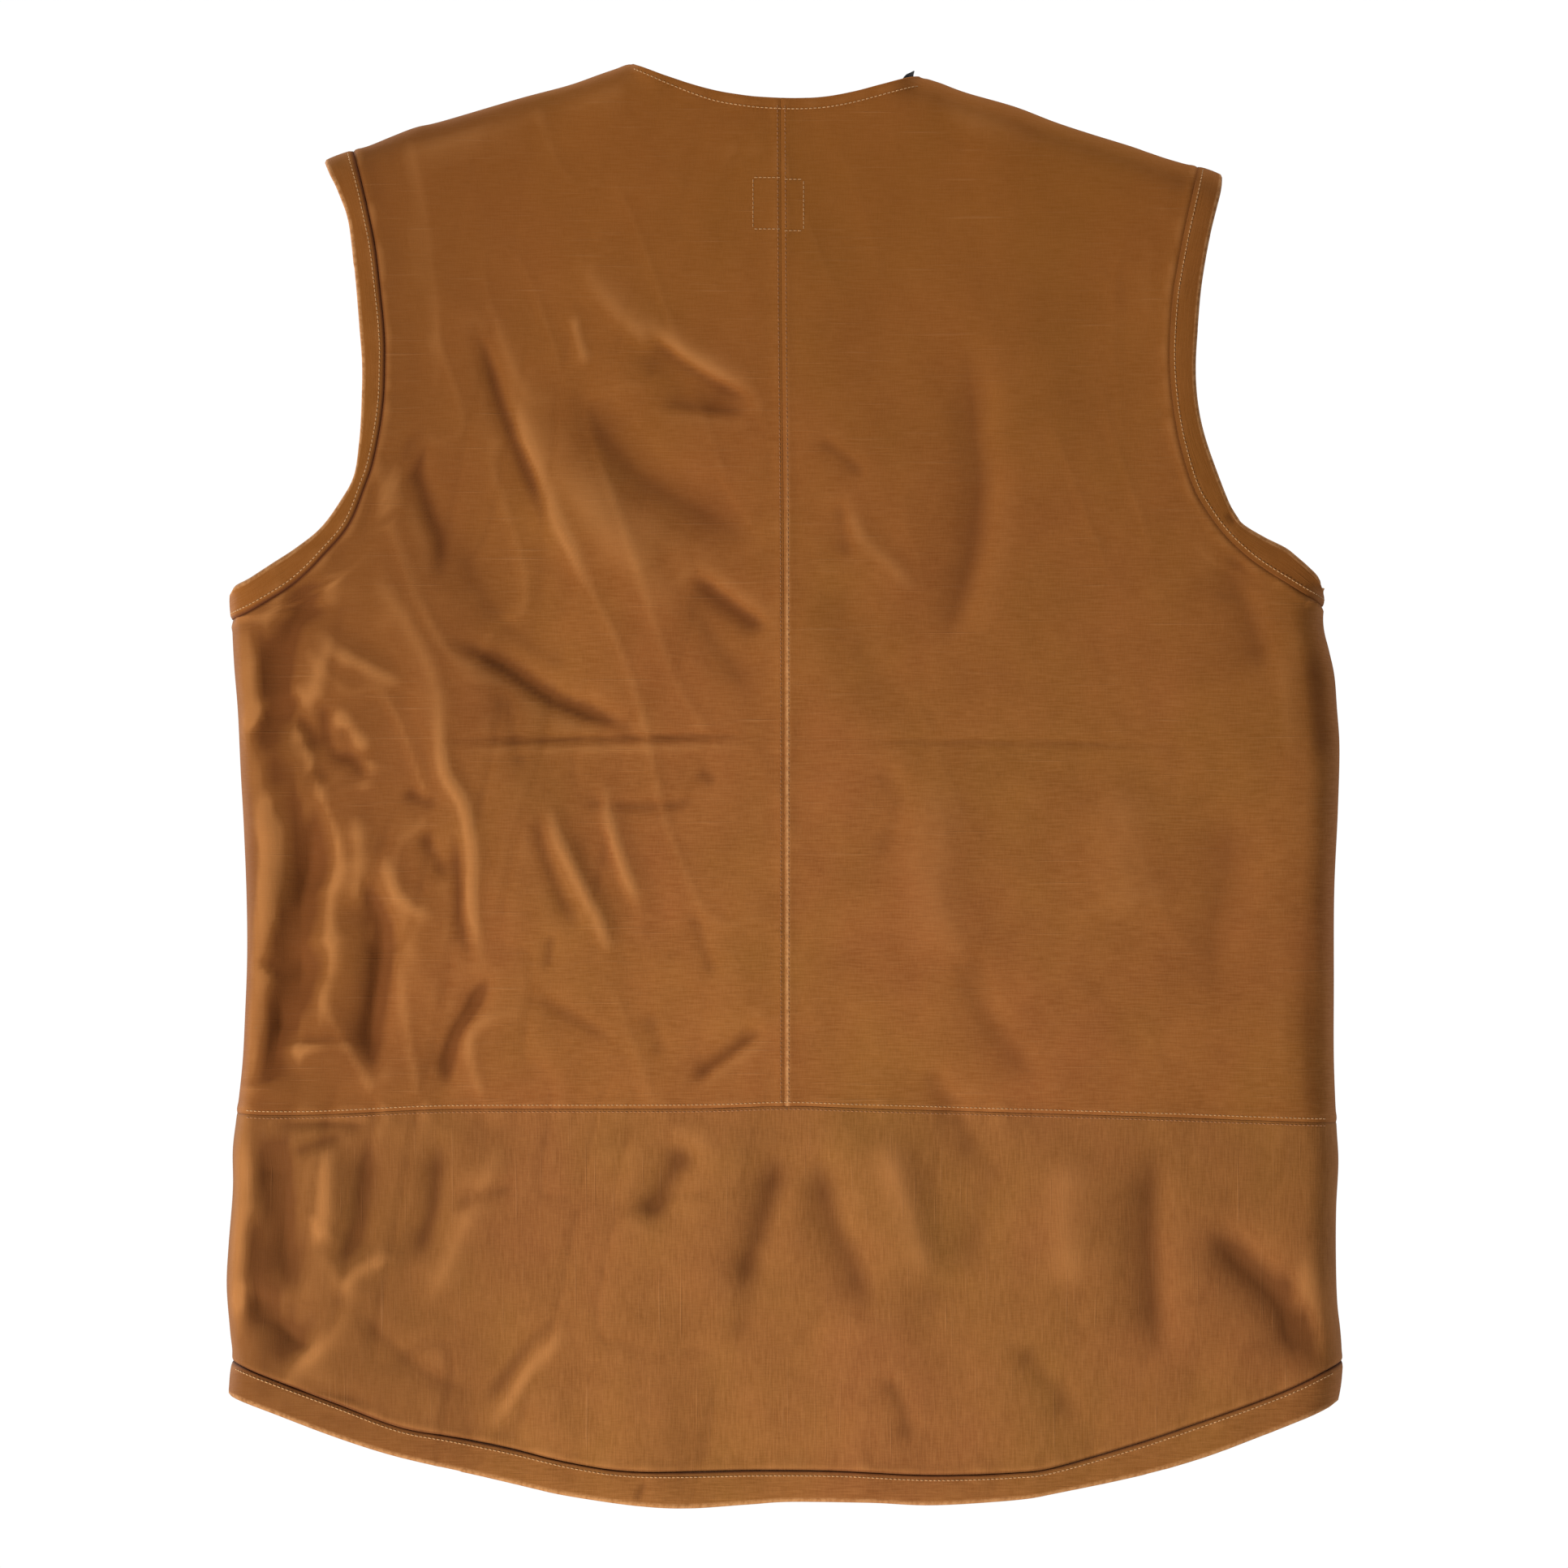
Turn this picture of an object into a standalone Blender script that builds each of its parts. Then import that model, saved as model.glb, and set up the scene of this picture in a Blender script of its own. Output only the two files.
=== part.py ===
"""Sleeveless canvas fishing vest, standing upright as it hangs: +Z up, the wearer faces +Y, +X is the wearer's right.
The origin is the middle of the neck opening, level with the lowest point of the back neckline. The shell is one flat
body with rounded side and shoulder folds: the back lies on the plane y = -DEPTH and the front on y = +DEPTH.
Outlines are (x, z) points in millimetres; everything is scaled to metres when the objects are made."""
import bpy
import bmesh
import numpy as np
from math import pi, sin, cos, radians, hypot
from mathutils import Vector

# ---------------------------------------------------------------- driving dimensions, mm
DEPTH = 35.0          # half depth of the body and radius of the side and shoulder folds
CLOTH = 1.5           # panel thickness
BAND = 2.4            # folded band thickness
GAP = 0.2             # half of the gap left at each seam
FOLD_GAP = 0.35       # half gap where a back and a front panel meet on a fold line
HINGE_GAP = 1.0       # half gap along the line that each front folds on
SCOOP = 15.0          # how much deeper the front armholes are cut
HEM_FRONT, HEM_SEAM_FRONT = -715.0, -697.5
SIDES = {"left": -1, "right": 1}

SHOULDER = {
    "left": [(-253.4, -32.4), (-239.4, -27.5), (-228.6, -23.9), (-215.6, -18.5), (-203.4, -14), (-189.5, -10.8),
             (-146.7, 1.8), (-119.7, 9), (-101.7, 15.3), (-86, 20.7)],
    "right": [(241.7, -40.5), (229.5, -36.4), (220.5, -34), (206.6, -29.8), (192.6, -24.8), (170.6, -18), (150.3, -11.3),
              (127.8, -2.7), (101, 5), (85.5, 10.8), (77.4, 13)],
}
ARM_EDGE = {
    "left": [(-253.4, -32.4), (-249.6, -41), (-245.7, -49), (-239.4, -67), (-235.8, -96), (-233.6, -121), (-231.8, -146),
             (-232.2, -168), (-233.6, -189), (-237, -209), (-244.4, -223), (-255.6, -238), (-269.6, -249.3), (-283.5, -258.3),
             (-295.5, -266), (-303.5, -270), (-306.9, -274)],
    "right": [(241.7, -40.5), (239.9, -51), (235.8, -67), (232.2, -84), (229, -104.4), (227.3, -124), (226, -148),
              (227.3, -168.3), (231.3, -187), (239, -209), (246, -226), (252, -234.9), (264.2, -242.6), (278, -249.8),
              (289.8, -260), (295.6, -266), (298.4, -272.7)],
}
BAND_SEAM = {
    "left": [(-238.9, -27.3), (-233.6, -46), (-229, -66), (-225.6, -84), (-223.2, -105), (-221, -126.5), (-220.5, -143),
             (-221.6, -170), (-226.4, -198), (-231.3, -213.3), (-240.3, -235), (-254.7, -252), (-264, -261.5),
             (-274.5, -270), (-292, -280.4), (-305.9, -287)],
    "right": [(229.2, -36.3), (225.5, -53), (221.4, -71), (218.3, -87), (215, -106), (213.3, -126.5), (212.9, -146.3),
              (214.7, -168.3), (218.6, -190), (225.5, -213.3), (232.2, -225.5), (240.8, -237.6), (250.2, -247.5),
              (262.4, -257.4), (281, -269), (298.6, -279.6)],
}
SIDE = {
    "left": [(-306.9, -274), (-306, -288), (-304.7, -312), (-302.6, -338), (-301, -372), (-299.3, -402), (-297.8, -440),
             (-297.5, -474), (-298.6, -505), (-300, -532), (-303, -560), (-305.4, -580), (-305.4, -603), (-307.8, -634),
             (-308.8, -656), (-307, -680), (-305.4, -697), (-307.4, -715)],
    "right": [(298.4, -272.7), (299, -291), (302, -304), (305, -318), (306.4, -336), (307.8, -358), (306.9, -393),
              (304.9, -438), (304.7, -490), (304.7, -530), (306, -565), (307.2, -587), (306, -612), (305.8, -638),
              (306.5, -664), (308.4, -682), (309.2, -699.3), (306.9, -718.7)],
}
NECK = [(-86, 20.7), (-64.4, 12.2), (-41, 5), (-23, 1.8), (-9.5, 0.5), (6.8, 0), (22.5, 0.8), (38.3, 3.6), (54, 7.7),
        (69.8, 11.9), (77.4, 13)]
CENTRE_SEAM = [(-1.8, 0.2), (-1.2, -120), (0, -258), (0.2, -420), (0.2, -555.6)]
WAIST = [(-303, -560), (-282, -560.7), (-252, -560.3), (-201.6, -557.8), (-164.7, -557.2), (-52.2, -557), (0.2, -555.6),
         (37.8, -556.7), (82.8, -558), (195.3, -561.2), (255.6, -563.4), (306, -565)]
HEM_SEAM = [(-305.4, -697.5), (-282.2, -706.6), (-247.5, -719.4), (-213.3, -732.2), (-184.5, -738), (-149.9, -745.2),
            (-119.7, -752.3), (-90, -757), (-55.4, -757.9), (-9.9, -757), (35, -757.4), (82.8, -759.6), (127.8, -758),
            (150.3, -755), (195.3, -742), (229.5, -730.4), (264.2, -717.8), (285.8, -709), (309.2, -697.5)]
HEM_EDGE = [(-307.4, -715), (-288, -721.8), (-253.4, -734.9), (-218.7, -746.4), (-178.7, -756), (-142.2, -764.6),
            (-119.7, -769.5), (-82.4, -775), (-52.7, -776.6), (-18.9, -774.4), (3.2, -773), (48.2, -773.4), (82.8, -774.8),
            (127.8, -772), (150.3, -768.4), (195.3, -758.9), (229.5, -749.3), (260.6, -737.8), (288, -727), (306.9, -718.7)]
V_TIP_Z = -208.0
FOLD_TOP_ARC = 46.0                       # how far down the V edge each front's fold line starts
FOLD_FOOT_X = 262.0
PANEL_EDGE = {"left": 7.0, "right": 9.5}  # the free front edges, from the middle
CHAIN = {"left": (1.8, 4.6), "right": (4.6, 7.4)}
TAPE = {"left": (4.9, 20.0), "right": (7.7, 22.0)}
ZIP_TOP, ZIP_BOTTOM = -206.0, -687.0
# pocket: x from, x to, top, bottom, depth, flap height above the mouth, flap drop
CHEST = dict(x0=24.0, x1=104.0, top=-235.0, bottom=-352.0, depth=14.0, rise=14.5, drop=38.0, snaps=(64.0,))
LOWER = dict(x0=26.0, x1=154.0, top=-425.0, bottom=-640.0, depth=25.0, rise=21.0, drop=51.0, snaps=(52.0, 128.0))
SNAP_GAP = 1.95       # between a pocket's front and its flap
RING_AT = (70.0, -150.0)

ARC = [DEPTH * (1 - cos(radians(a))) for a in (0, 12, 27, 43, 60, 75, 90)]   # distances that follow the round fold

# ---------------------------------------------------------------- scene
for leftover in list(bpy.data.objects):
    bpy.data.objects.remove(leftover, do_unlink=True)
scene = bpy.context.scene


def material(name, colour, rough, metal=0.0):
    m = bpy.data.materials.new(name)
    m.use_nodes = True
    shader = m.node_tree.nodes["Principled BSDF"]
    shader.inputs["Base Color"].default_value = (*colour, 1.0)
    shader.inputs["Roughness"].default_value = rough
    shader.inputs["Metallic"].default_value = metal
    m.diffuse_color = (*colour, 1.0)
    return m


CANVAS = material("canvas", (0.30, 0.115, 0.03), 0.85)
CANVAS_BAND = material("canvas_band", (0.28, 0.105, 0.028), 0.85)
LINING = material("facing", (0.27, 0.10, 0.028), 0.85)
TAPE_DARK = material("dark_tape", (0.012, 0.012, 0.014), 0.8)
LABEL = material("label", (0.35, 0.30, 0.22), 0.75)
ZIP_TAPE = material("zipper_tape", (0.10, 0.045, 0.018), 0.8)
BRASS = material("brass", (0.55, 0.38, 0.14), 0.35, 1.0)
STEEL = material("snap_steel", (0.35, 0.32, 0.28), 0.35, 1.0)


# ---------------------------------------------------------------- curves
def smooth(points, steps=8):
    """Points along a smooth curve through the given ones."""
    p = np.array(points, float)
    q = np.vstack([2 * p[0] - p[1], p, 2 * p[-1] - p[-2]])
    out = []
    for i in range(1, len(q) - 2):
        a, b, c, d = q[i - 1:i + 3]
        for k in range(steps):
            t = k / steps
            out.append(0.5 * (2 * b + (c - a) * t + (2 * a - 5 * b + 4 * c - d) * t * t + (3 * b - a - 3 * c + d) * t ** 3))
    out.append(p[-1])
    return np.array(out)


class Path:
    """A polyline that is read by its length, from 0 to 1."""

    def __init__(self, points):
        self.p = np.array(points, float)
        step = np.hypot(*np.diff(self.p, axis=0).T)
        self.s = np.concatenate([[0], np.cumsum(step)])
        self.length = self.s[-1]

    def __call__(self, t):
        s = np.clip(t, 0, 1) * self.length
        return np.array([np.interp(s, self.s, self.p[:, 0]), np.interp(s, self.s, self.p[:, 1])])

    def at_x(self, x):
        """The height where this path, which runs along x, crosses x."""
        order = np.argsort(self.p[:, 0])
        return float(np.interp(x, self.p[order, 0], self.p[order, 1]))

    def between(self, a, b, count):
        """The stretch from length a to length b as points, ends included."""
        return np.array([self(t / self.length) for t in np.linspace(a, b, count)])


def nearest_length(path, point):
    d = np.hypot(path.p[:, 0] - point[0], path.p[:, 1] - point[1])
    return path.s[int(d.argmin())]


shoulder = {s: Path(smooth(SHOULDER[s])) for s in SIDES}
side = {s: Path(smooth(SIDE[s])) for s in SIDES}
arm_edge = {("back", s): Path(smooth(ARM_EDGE[s])) for s in SIDES}
band_seam = {("back", s): Path(smooth(BAND_SEAM[s])) for s in SIDES}
for s, way in SIDES.items():
    for curves in (arm_edge, band_seam):
        back = curves["back", s]
        pushed = back.p.copy()
        pushed[:, 0] -= way * SCOOP * np.sin(pi * back.s / back.length) ** 1.3
        curves["front", s] = Path(pushed)
neck, waist = Path(smooth(NECK)), Path(smooth(WAIST))
hem_seam, hem_edge = Path(smooth(HEM_SEAM)), Path(smooth(HEM_EDGE))
centre = Path(smooth(CENTRE_SEAM))
v_edge, fold_top, fold_foot = {}, {}, {}
for s, way in SIDES.items():
    start, tip = shoulder[s].p[-1], np.array([way * PANEL_EDGE[s], V_TIP_Z])
    t = np.linspace(0, 1, 25)[:, None]
    across = np.array([-(tip - start)[1], (tip - start)[0]]) / hypot(*(tip - start))
    v_edge[s] = Path(start + (tip - start) * t - way * across * 5.0 * np.sin(pi * t))
    fold_top[s] = v_edge[s](FOLD_TOP_ARC / v_edge[s].length)
    fold_foot[s] = np.array([way * FOLD_FOOT_X, HEM_FRONT])

FOLDS = [shoulder["left"].p, shoulder["right"].p, side["left"].p, side["right"].p]


def fold_distance(x, z):
    """Distance to the nearest closed edge, and the direction that leads away from it."""
    best, away = 1e9, (0.0, -1.0)
    for line in FOLDS:
        a, b = line[:-1], line[1:]
        ab = b - a
        t = np.clip(((x - a[:, 0]) * ab[:, 0] + (z - a[:, 1]) * ab[:, 1]) / (ab ** 2).sum(1), 0, 1)
        near = a + ab * t[:, None]
        d = np.hypot(x - near[:, 0], z - near[:, 1])
        i = int(d.argmin())
        if d[i] < best:
            best = d[i]
            away = ((x - near[i, 0]) / d[i], (z - near[i, 1]) / d[i]) if d[i] > 1e-6 else (0.0, 0.0)
    return best, away


def on_shell(x, z, face, inset=0.0, least=0.0):
    """The point of the shell's outer surface over (x, z), on the back (-1) or the front (+1), set in by inset."""
    d, (ax, az) = fold_distance(x, z)
    c = 1 - min(d / DEPTH, 1.0)
    up = (1 - c * c) ** 0.5
    y = max(DEPTH * up, least)
    return (x + inset * c * ax, face * (y - inset * up), z + inset * c * az)


# ---------------------------------------------------------------- makers
def finish_object(name, mesh, mat, parent=None):
    mesh.materials.append(mat)
    obj = bpy.data.objects.new(name, mesh)
    scene.collection.objects.link(obj)
    if parent is not None:
        obj.parent = parent
        obj.matrix_parent_inverse = parent.matrix_world.inverted()
    return obj


def mesh_of(name, points, faces):
    mesh = bpy.data.meshes.new(name)
    mesh.from_pydata([tuple(c * 0.001 for c in p) for p in points], [], faces)
    mesh.validate()
    return mesh


def sheet(name, grid, outward, thick, mat, parent=None, ring=False):
    """A cloth piece: a grid of points on its outer surface, thickened inwards. outward is the way its middle faces."""
    grid = np.array(grid, float)
    rows, cols = grid.shape[:2]
    points = grid.reshape(-1, 3)
    faces = []
    for i in range(rows if ring else rows - 1):
        for j in range(cols - 1):
            k = (i + 1) % rows
            faces.append((i * cols + j, i * cols + j + 1, k * cols + j + 1, k * cols + j))
    total = np.zeros(3)
    for f in faces:
        p = points[list(f)]
        n = np.cross(p[2] - p[0], p[3] - p[1])
        out = np.array(outward if not ring else (p.mean(0) * (0, 1, 0)), float)
        total += n * np.sign(n @ out)
    flips = sum(np.sign(np.cross(points[f[2]] - points[f[0]], points[f[3]] - points[f[1]]) @ (
        np.array(outward, float) if not ring else points[list(f)].mean(0) * (0, 1, 0))) for f in faces)
    if flips < 0:
        faces = [f[::-1] for f in faces]
    obj = finish_object(name, mesh_of(name, points, faces), mat, parent)
    solid = obj.modifiers.new("thickness", "SOLIDIFY")
    solid.thickness = thick * 0.001
    solid.offset = -1
    solid.use_even_offset = True
    obj.data.shade_smooth()
    return obj


def box(name, low, high, mat, parent=None, bevel=0.0, hidden=False):
    mesh = bpy.data.meshes.new(name)
    bm = bmesh.new()
    bmesh.ops.create_cube(bm, size=1.0)
    low, high = np.array(low, float), np.array(high, float)
    for v in bm.verts:
        v.co = Vector(((low + high) / 2 + np.array(v.co) * (high - low)) * 0.001)
    if bevel:
        bmesh.ops.bevel(bm, geom=bm.edges[:], offset=bevel * 0.001, segments=1, affect="EDGES")
    bmesh.ops.recalc_face_normals(bm, faces=bm.faces)
    bm.to_mesh(mesh)
    bm.free()
    obj = finish_object(name, mesh, mat, parent)
    if hidden:
        obj.hide_render = True
        obj.display_type = "WIRE"
    return obj


def combine(obj, other, how):
    m = obj.modifiers.new(how.lower(), "BOOLEAN")
    m.operation = how
    m.object = other
    other.hide_render = True
    other.display_type = "WIRE"


def button(name, x, y0, y1, z, radius, mat, parent, dome=0.0):
    """A short round piece on the y axis, from y0 to y1, with an optional domed face at y1."""
    mesh = bpy.data.meshes.new(name)
    bm = bmesh.new()
    rings = [(y0, radius), (y1 - dome, radius)] + ([(y1 - dome * 0.35, radius * 0.8), (y1, radius * 0.42)] if dome else [(y1, radius * 0.9)])
    count, loops = 20, []
    for y, r in rings:
        loops.append([bm.verts.new(Vector((x + r * cos(2 * pi * k / count), y, z + r * sin(2 * pi * k / count))) * 0.001) for k in range(count)])
    for a, b in zip(loops, loops[1:]):
        for k in range(count):
            bm.faces.new((a[k], a[(k + 1) % count], b[(k + 1) % count], b[k]))
    bm.faces.new(loops[0])
    bm.faces.new(loops[-1])
    bmesh.ops.recalc_face_normals(bm, faces=bm.faces)
    bm.to_mesh(mesh)
    bm.free()
    obj = finish_object(name, mesh, mat, parent)
    mesh.shade_smooth()
    mesh.set_sharp_from_angle(angle=radians(35))
    return obj


def empty(name, at, parent=None):
    e = bpy.data.objects.new(name, None)
    scene.collection.objects.link(e)
    e.location = [c * 0.001 for c in at]
    if parent is not None:
        e.parent = parent
        bpy.context.view_layer.update()
        e.matrix_parent_inverse = parent.matrix_world.inverted()
    bpy.context.view_layer.update()
    return e


def patch(bottom, top, left, right, columns, rows):
    """Points (x, z) that fill four border paths. rows are fractions up the left and right paths; columns(v, width) gives
    the fractions across one row. left runs up the outer border, bottom and top run from the outer border inwards."""
    corner = [bottom(0), bottom(1), top(0), top(1)]
    out = []
    for v_left, v_right in rows:
        a, b = left(v_left), right(v_right)
        v = 0.5 * (v_left + v_right)
        line = []
        for u in columns(v, hypot(*(b - a))):
            p = (1 - v) * bottom(u) + v * top(u) + (1 - u) * a + u * b
            p -= (1 - v) * ((1 - u) * corner[0] + u * corner[1]) + v * ((1 - u) * corner[2] + u * corner[3])
            line.append(p)
        out.append(line)
    return out


def moved(points, by):
    """The points set to the side by the distance by, to the left of their direction when it is positive."""
    p = np.array(points, float)
    d = np.gradient(p, axis=0)
    n = np.stack([-d[:, 1], d[:, 0]], 1) / np.maximum(np.hypot(*d.T), 1e-9)[:, None]
    return p + n * by


# knots along the armhole seams: close together where the cloth turns at the armpit and the shoulder
def seam_knots(path):
    total = path.length
    middle = np.linspace(ARC[-1], total - ARC[-1], 9)[1:-1]
    return np.concatenate([ARC, middle, [total - a for a in ARC[::-1]]]) / total


# ---------------------------------------------------------------- shell panels
hub = empty("vest", (0, 0, 0))


def outer_border(face, s, z_from, rows_below):
    """The outer border of a body panel, from z_from up the side fold, then up the band seam to the shoulder."""
    seam = band_seam[face, s]
    start = nearest_length(side[s], seam.p[-1])
    foot = side[s].s[int(np.abs(side[s].p[:, 1] - z_from).argmin())]
    below = side[s].between(foot, start, rows_below + 1)[:-1]
    knots = 1 - seam_knots(seam)[::-1]
    upper = np.array([seam(1 - k) for k in seam_knots(seam)])
    upper[0] = side[s](start / side[s].length)
    return below, upper


def back_panel(s):
    way = SIDES[s]
    below, upper = outer_border("back", s, waist.at_x(way * 303), 5)
    inward = moved(upper, -GAP if way < 0 else GAP)
    inward[0] = upper[0] + (0, -GAP)
    border = np.vstack([below, inward])
    border[0, 1] = waist.at_x(border[0, 0]) + GAP
    left = Path(border)
    rows_left = left.s / left.length
    line = Path(moved(centre.p[::-1], GAP if way < 0 else -GAP) + 0.0)
    line.p[0, 1] = waist.at_x(line.p[0, 0]) + GAP
    line = Path(line.p)
    # rows on the centre line: spread like the outer ones, close together again under the neckline
    n_low, n = len(below), len(border)
    rows_right = np.concatenate([np.linspace(0, 1 - ARC[-1] / line.length, n - len(ARC) + 1), [1 - a / line.length for a in ARC[::-1]][1:]])
    foot = waist.p[np.argsort(waist.p[:, 0])]
    half = foot[foot[:, 0] * way > 0.3 * 1] if way > 0 else foot[foot[:, 0] < 0]
    half = half[::-1] if way > 0 else half
    bottom = Path(np.vstack([[border[0, 0], border[0, 1] - GAP], half[1:-1], line.p[0] - (0, GAP)]) + (0, GAP))
    top_shoulder = shoulder[s].p
    cut = nearest_length(shoulder[s], band_seam["back", s].p[0])
    keep = np.array([shoulder[s](t / shoulder[s].length) for t in np.linspace(cut, shoulder[s].length, 14)])
    keep[0] = border[-1]
    line_neck = neck.p if way < 0 else neck.p[::-1]
    x_end = line.p[-1, 0]
    line_neck = line_neck[line_neck[:, 0] < x_end - 1] if way < 0 else line_neck[line_neck[:, 0] > x_end + 1]
    end = np.array([x_end, neck.at_x(x_end)])
    line.p[-1] = end
    top = Path(np.vstack([keep, line_neck[1:], end]))
    kink = Path(keep).length / top.length

    def columns(v, width):
        outer = [a / width for a in ARC]
        near = [kink + a / top.length for a in (3.0, 8.0, 15.0, 24.0, 35.0)]
        return outer + list(np.linspace(outer[-1], kink, 5)[1:]) + near + [near[-1] + (1 - near[-1]) * 0.5, 1.0]

    grid = patch(bottom, top, left, line, columns, list(zip(rows_left, rows_right)))
    points = [[on_shell(*p, -1, least=FOLD_GAP) for p in row] for row in grid]
    sheet(f"back_panel_{s}", points, (0, -1, 0), CLOTH, CANVAS, hub)


def tail_panel():
    rows = 5
    a, b = side["left"], side["right"]
    ends = {}
    for s, way in SIDES.items():
        z0, z1 = HEM_SEAM_FRONT + GAP, waist.at_x(way * 304) - GAP
        order = side[s].p[::-1]
        zs = np.linspace(z0, z1, rows)
        ends[s] = np.array([(np.interp(z, order[:, 1], order[:, 0]), z) for z in zs])
    bottom = Path(np.vstack([ends["left"][0], hem_seam.p[3:-3] + (0, GAP), ends["right"][0]]))
    top = Path(np.vstack([ends["left"][-1], waist.p[3:-3] - (0, GAP), ends["right"][-1]]))
    v = np.linspace(0, 1, rows)

    def columns(v, width):
        low = [x / width for x in ARC]
        return low + list(np.linspace(low[-1], 1 - low[-1], 13)[1:-1]) + [1 - x for x in low[::-1]]

    grid = patch(bottom, top, Path(ends["left"]), Path(ends["right"]), columns, list(zip(v, v)))
    points = [[on_shell(*p, -1, least=FOLD_GAP) for p in row] for row in grid]
    sheet("tail_panel", points, (0, -1, 0), CLOTH, CANVAS, hub)
    return grid[0]


def front_side(s):
    way = SIDES[s]
    below, upper = outer_border("front", s, HEM_SEAM_FRONT, 8)
    inward = moved(upper, -GAP if way < 0 else GAP)
    inward[0] = upper[0] + (0, -GAP)
    border = np.vstack([below, inward])
    border[0, 1] = HEM_SEAM_FRONT + GAP
    left = Path(border)
    rows_left = left.s / left.length
    slope = (fold_foot[s] - fold_top[s]) / hypot(*(fold_foot[s] - fold_top[s]))
    off = np.array([way * HINGE_GAP, 0])
    foot = fold_top[s] + slope * ((HEM_SEAM_FRONT + GAP - fold_top[s][1]) / slope[1]) + off
    up_v = [v_edge[s](a / v_edge[s].length) for a in np.linspace(FOLD_TOP_ARC, 0, 12)]
    up_v[0] = up_v[0] + off
    n = len(border)
    straight = np.array([foot + (up_v[0] - foot) * t for t in np.linspace(0, 1, n - len(ARC) + 1)])
    inner = Path(np.vstack([straight, up_v[1:]]))
    rows_right = np.concatenate([np.linspace(0, Path(straight).length, n - len(ARC) + 1), [inner.length - a for a in ARC[::-1]][1:]]) / inner.length
    bottom = Path([border[0], foot])
    cut = nearest_length(shoulder[s], band_seam["back", s].p[0])
    keep = np.array([shoulder[s](t / shoulder[s].length) for t in np.linspace(cut, shoulder[s].length, 14)])
    keep[0] = border[-1]
    top = Path(keep)

    def columns(v, width):
        outer = [a / width for a in ARC]
        return outer + list(np.linspace(outer[-1], 1, 4)[1:])

    grid = patch(bottom, top, left, inner, columns, list(zip(rows_left, rows_right)))
    points = [[on_shell(*p, 1, least=FOLD_GAP) for p in row] for row in grid]
    sheet(f"front_side_{s}", points, (0, 1, 0), CLOTH, CANVAS, hub)


def armhole_band(s):
    """A closed band round the armhole: up the back from the armpit, over the shoulder, and down the front."""
    way = SIDES[s]
    rows = []
    for face, sign in (("back", -1), ("front", 1)):
        seam, edge = band_seam[face, s], arm_edge[face, s]
        knots = seam_knots(seam)
        outer = moved(np.array([seam(k) for k in knots]), GAP if way > 0 else -GAP)
        line = []
        for k, p, w in zip(knots, outer, seam_knots(edge)):
            e = edge(w)
            line.append([on_shell(*p, sign), on_shell(*e, sign)])
        line[0] = [(seam.p[0][0], 0.0, seam.p[0][1]), (edge.p[0][0], 0.0, edge.p[0][1])]
        line[-1] = [(seam.p[-1][0], 0.0, seam.p[-1][1] + GAP), (edge.p[-1][0], 0.0, edge.p[-1][1])]
        rows.append(line)
    back, front = rows
    ring = back[::-1] + front[1:-1]
    sheet(f"armhole_band_{s}", ring, None, BAND, CANVAS_BAND, hub, ring=True)


def hem_band(seam_row):
    """The band that turns up the hem: across the tail and round both side folds to where the fronts fold."""
    line = []
    for s, way in SIDES.items():
        part = []
        corner_seam = np.array([np.interp(HEM_SEAM_FRONT, side[s].p[::-1, 1], side[s].p[::-1, 0]), HEM_SEAM_FRONT])
        corner_edge = hem_edge.p[0] if way < 0 else hem_edge.p[-1]
        foot_x = FOLD_FOOT_X + 1.5
        for a in [abs(corner_seam[0]) - foot_x] + ARC[::-1]:
            t = a / (abs(corner_seam[0]) - foot_x)
            xs = way * (abs(corner_seam[0]) - a)
            z_edge = corner_edge[1] + (HEM_FRONT - corner_edge[1]) * min(t * 1.5, 1)
            if a == 0:
                part.append([(corner_seam[0], 0.0, corner_seam[1] - GAP), (corner_edge[0], 0.0, corner_edge[1])])
            else:
                part.append([on_shell(xs, HEM_SEAM_FRONT - GAP, 1), on_shell(way * (abs(corner_edge[0]) - a), z_edge, 1)])
        line.append(part)
    along = Path(seam_row)
    back = []
    for p, run in list(zip(seam_row, along.s))[1:-1]:
        e = hem_edge(run / along.length)
        back.append([on_shell(p[0], p[1] - 2 * GAP, -1), on_shell(e[0], e[1], -1)])
    grid = line[0] + back + line[1][::-1]
    faces_out = np.array(grid)
    sheet("hem_band_back", faces_out, (0, -1, 0), BAND, CANVAS_BAND, hub)


for s in SIDES:
    back_panel(s)
hem_row = tail_panel()
for s in SIDES:
    front_side(s)
    armhole_band(s)
hem_band(hem_row)


# ---------------------------------------------------------------- inside the neck
def inside_strip(name, x_from, x_to, count, low, high, inset, thick, mat):
    grid = []
    for x in np.linspace(x_from, x_to, count):
        z = neck.at_x(x)
        a, b = z + low(x), z + high(x)
        grid.append([on_shell(x, c, -1, inset=inset) for c in (a, (a + b) / 2, b)])
    sheet(name, grid, (0, -1, 0), thick, mat, hub)


def step(x, a, b):
    t = min(max((x - a) / (b - a), 0), 1)
    return t * t * (3 - 2 * t)


inside_strip("neck_facing", -62, 53, 22, lambda x: -30.0, lambda x: -1.0, CLOTH + 0.8, 1.0, LINING)
inside_strip("neck_tape", -58, 75, 24, lambda x: -14.0 + 7.0 * step(x, 58, 72), lambda x: -4.0 + 7.2 * step(x, 60, 71), CLOTH + 2.2, 0.8, TAPE_DARK)
inner_face = -DEPTH + CLOTH
box("neck_label", (-17, inner_face + 0.3, -72), (11, inner_face + 1.1, -43.4), LABEL, hub)

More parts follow.
